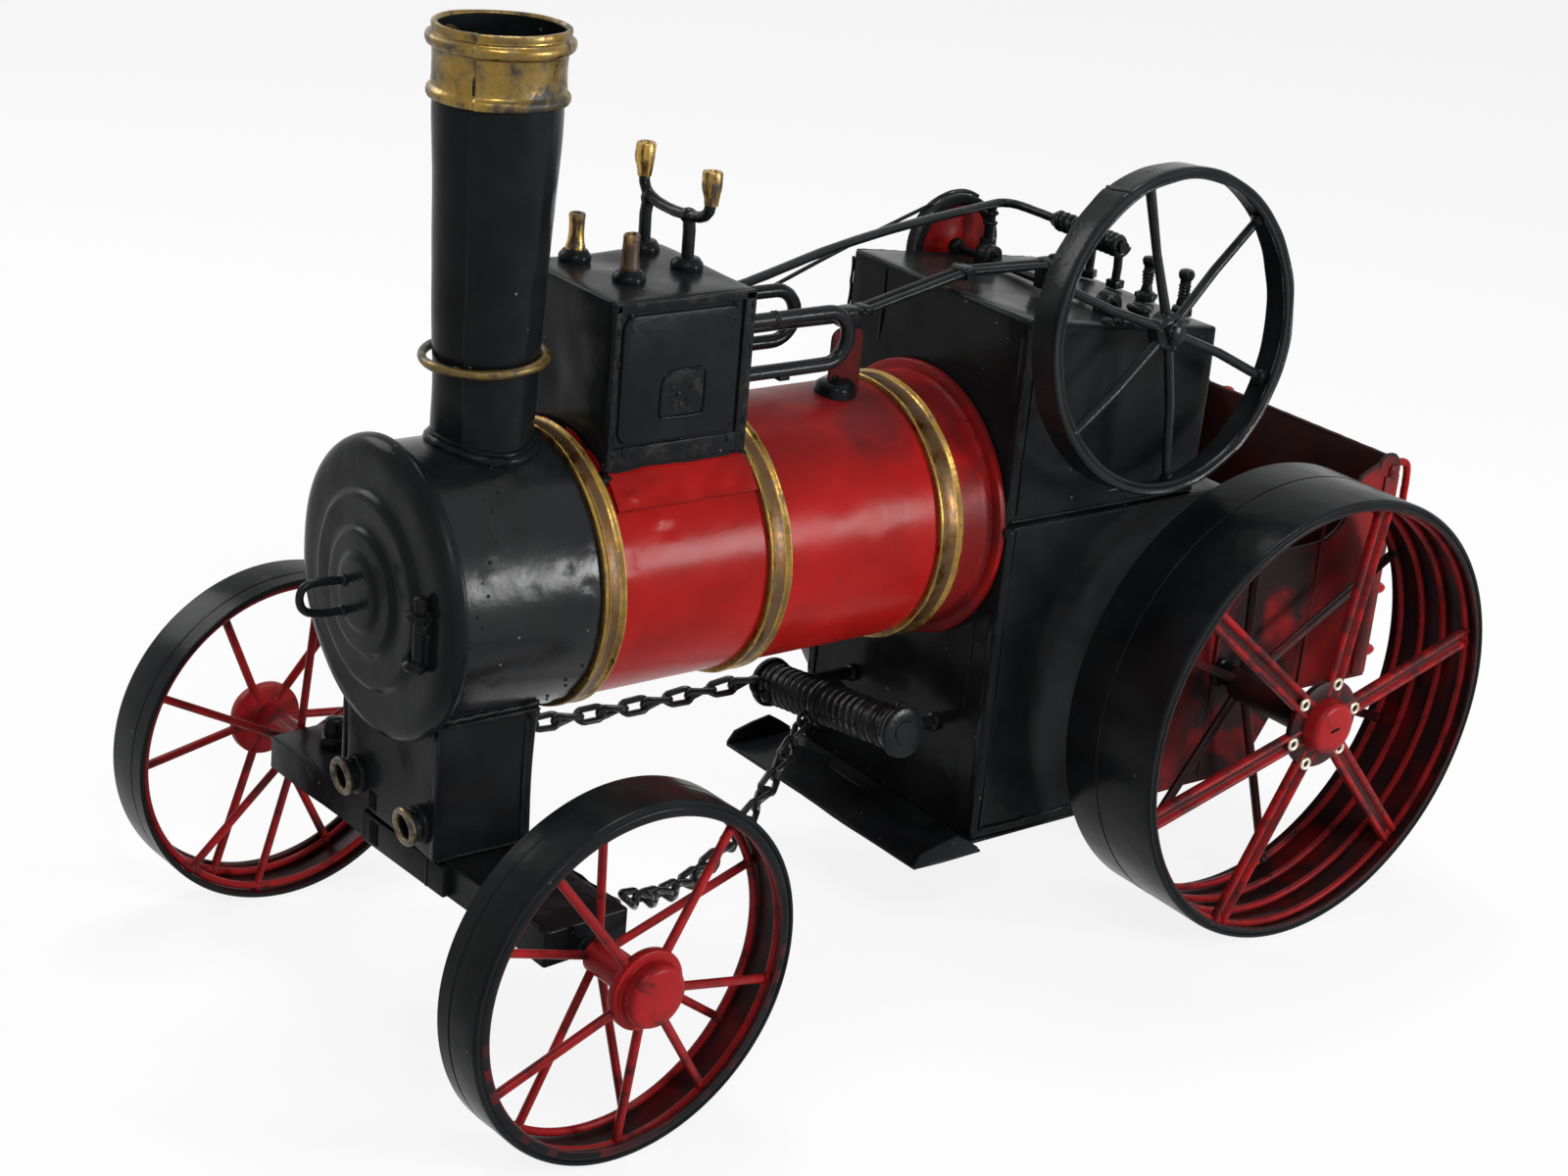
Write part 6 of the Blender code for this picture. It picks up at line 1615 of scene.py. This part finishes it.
def makeBeam():
    whole = bmesh.new()
    look = beam
    part = sheetBox((-look["half"], -look["deep"], look["low"]), (look["half"], look["deep"], look["high"]),
                    0.5, 13, [(0, 0, -1)])
    addSheet(whole, part)
    handMade(whole, 0.4, 60, 51.0)
    for side in (1, -1):
        join(whole, bar((side * 51, 0, 42.5), (side * look["stub"], 0, 42.5), 1.95, 20))
        join(whole, blob((side * 57.2, 0, 42.6), 2.6, (0.6, 1, 1)))
        join(whole, hoop(2.3, 0.72, 28, 10), moved((side * 47.0, 13.4, 44.5)))
        join(whole, blob((side * 47.0, 11.1, 44.5), 1.5, (1.2, 0.8, 1)))
        line = [(x, side * 10.9, look["high"] - 0.2 + 0.15 * math.sin(x)) for x in range(-56, 57, 3)]
        join(whole, bentRod(line, 0.35, 8, uneven=0.2))
    # the face plate with its step, the notch as a near-black patch of painted shade, and the corner bolt
    join(whole, block((34.0, 2.2, 7.4), (4.0, -11.9, 44.7), 0.4))
    join(whole, block((3.4, 0.5, 5.6), (-7.5, -12.95, 44.7), 0.15), finish=1)
    join(whole, block((0.7, 0.5, 7.0), (14.4, -13.0, 44.7), 0.15))
    bolt = [(0, 56.0), (1.6, 56.0), (2.3, 55.7), (2.6, 55.0), (2.55, 52.6), (2.6, 51.6), (3.0, 51.3),
            (3.5, 51.0), (3.65, 50.2), (3.6, 48.6), (0, 48.6)]
    join(whole, turned(bolt, 32), moved((-44.6, -0.7, 0)))
    pin = [(0, 40.3), (2.6, 40.3), (2.9, 40.8), (2.9, 42.6), (2.2, 43.0), (2.2, 48.2), (0, 48.2)]
    join(whole, turned(pin, 32))
    bmesh.ops.transform(whole, matrix=steerPlace, verts=whole.verts)
    return makePiece("frontBeam", whole, (blackEnamel, paintedHoleShade), "front_axle", ("front_axle_beam",),
                     50)


drum = {"place": (0, -2.3, 54.2), "lean": -8.6, "half": 28.0, "wire": 1.15, "turns": 20}


def makeDrum():
    whole = bmesh.new()
    look = drum
    half, wire = look["half"], look["wire"]
    coil = winding((-(half - 2.2), 0, 0), (half - 2.2, 0, 0), 5.7 - wire, look["turns"], 18)
    join(whole, bentRod(coil, wire, 8, uneven=0.08))
    core = [(0, -half), (5.6, -half), (6.3, -half + 0.3), (6.6, -half + 0.9), (6.4, -half + 1.8),
            (5.2, -half + 2.0), (5.1, -4.0), (6.3, -3.6), (6.6, -2.9), (6.3, -2.2), (5.1, -1.8),
            (5.1, half - 2.0), (6.4, half - 1.8), (6.6, half - 0.9), (6.3, half - 0.3), (5.6, half),
            (3.2, half - 0.1), (2.9, half + 0.3), (0, half + 0.3)]
    join(whole, turned(core, 40), along("X"))
    for x, angle in ((half - 5, 60), (-half + 6, 200)):
        join(whole, blob(radial(angle, 5.6, x), 1.6))
    place = moved(look["place"]) @ Matrix.Rotation(math.radians(look["lean"]), 4, "Y")
    bmesh.ops.transform(whole, matrix=place, verts=whole.verts)
    for x in (-17.0, 17.0):
        join(whole, bentRod([(x, 16.4, 53.5), (x, 8, 53.4), (x, -2.0, 53.5)], 1.7, 14, uneven=0.1))
        join(whole, blob((x, 15.9, 53.5), 2.6, (1, 0.5, 1)))
    for x, y, z in ((-3.0, -9.2, 50.4), (-24.0, -9.0, 51.6)):
        join(whole, hoop(1.9, 0.62, 24, 10), moved((x, y, z)) @ Matrix.Rotation(1.1, 4, "Y"))
    return makePiece("steeringCoil", whole, (blackWire,), "chassis", ("steering_drum",))


def makeChains():
    for name, side, start, low in (("near", 1, (-3.0, -10.1, 49.5), 33.0),
                                   ("far", -1, (-24.0, -10.1, 53.5), 47.0)):
        end = (steerPlace @ moved((side * 47.0, 18.3, 44.5))).translation / mm
        start = Vector(start)
        sag = 4 * ((start.z + end.z) / 2 - low)
        route = []
        for i in range(241):
            share = i / 240
            route.append(start.lerp(end, share) - Vector((0, 0, sag * share * (1 - share))))
        lengths = [0.0]
        for a, b in zip(route, route[1:]):
            lengths.append(lengths[-1] + (b - a).length)
        count = round(lengths[-1] / 5.9)
        knots = []
        for i in range(count + 1):
            spot = lengths[-1] * i / count
            knots.append(route[min(range(241), key=lambda k: abs(lengths[k] - spot))])
        whole = bmesh.new()
        wire, wide = 0.86, 1.78
        for i, (a, b) in enumerate(zip(knots, knots[1:])):
            half = (b - a).length / 2 + wire * 0.75
            straight = half - wide
            line = []
            for turn in range(-90, 90, 18):
                line.append((straight + wide * math.cos(math.radians(turn)),
                             wide * math.sin(math.radians(turn))))
            line += [(-x, -y) for x, y in line]
            # each link is twisted a little about its length
            points = [Matrix.Rotation(0.55 * x / half, 3, "X") @ Vector((x, y, 0)) for x, y in line]
            place = (moved((a + b) / 2) @ (b - a).to_track_quat("X", "Z").to_matrix().to_4x4()
                     @ Matrix.Rotation(math.radians(41 + 86 * (i % 2) + 7 * math.sin(i * 2.4)), 4, "X"))
            join(whole, bentRod(points, wire, 10, closed=True, uneven=0.06), place)
        chain = makePiece("steeringLinks_" + name, whole, (chainMetal,), None, ("steering_chain_" + name,))
        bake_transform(chain)


makePedestal()
makeBeam()
makeDrum()
makeChains()
print("front done")


# floor and light

def seenWhite(tree):
    # 1 for rays of the camera, of reflections and through glass
    path = tree.nodes.new("ShaderNodeLightPath")
    total = path.outputs["Is Camera Ray"]
    for name in ("Is Glossy Ray", "Is Transmission Ray"):
        most = tree.nodes.new("ShaderNodeMath")
        most.operation = "MAXIMUM"
        tree.links.new(total, most.inputs[0])
        tree.links.new(path.outputs[name], most.inputs[1])
        total = most.outputs[0]
    return total


def makeFloor():
    part = bmesh.new()
    bmesh.ops.create_grid(part, x_segments=1, y_segments=1, size=6.0)
    mesh = bpy.data.meshes.new("floor")
    part.to_mesh(mesh)
    part.free()
    floor = bpy.data.objects.new("floor", mesh)
    bpy.context.scene.collection.objects.link(floor)
    material = bpy.data.materials.new("paleFloor")
    material.use_nodes = True
    tree = material.node_tree
    shader = tree.nodes["Principled BSDF"]
    shader.inputs["Base Color"].default_value = (0.86, 0.86, 0.86, 1)
    shader.inputs["Roughness"].default_value = 0.9
    glow = tree.nodes.new("ShaderNodeEmission")
    glow.inputs["Color"].default_value = (1, 1, 1, 1)
    blend = tree.nodes.new("ShaderNodeMixShader")
    half = tree.nodes.new("ShaderNodeMath")
    half.operation = "MULTIPLY"
    half.inputs[1].default_value = 0.86
    tree.links.new(seenWhite(tree), half.inputs[0])
    tree.links.new(half.outputs[0], blend.inputs[0])
    tree.links.new(shader.outputs[0], blend.inputs[1])
    tree.links.new(glow.outputs[0], blend.inputs[2])
    tree.links.new(blend.outputs[0], tree.nodes["Material Output"].inputs["Surface"])
    mesh.materials.append(material)


def makeWorld():
    world = bpy.data.worlds.new("studio")
    bpy.context.scene.world = world
    world.use_nodes = True
    tree = world.node_tree
    sky = tree.nodes["Background"]
    sky.inputs["Color"].default_value = (1, 1, 1, 1)
    seen = tree.nodes.new("ShaderNodeMapRange")
    seen.inputs["To Min"].default_value = 0.20
    seen.inputs["To Max"].default_value = 1.0
    tree.links.new(seenWhite(tree), seen.inputs["Value"])
    tree.links.new(seen.outputs[0], sky.inputs["Strength"])


makeCamera()
makeLamps()
makeFloor()
makeWorld()
bpy.context.scene.view_settings.view_transform = "Standard"
print("studio done")
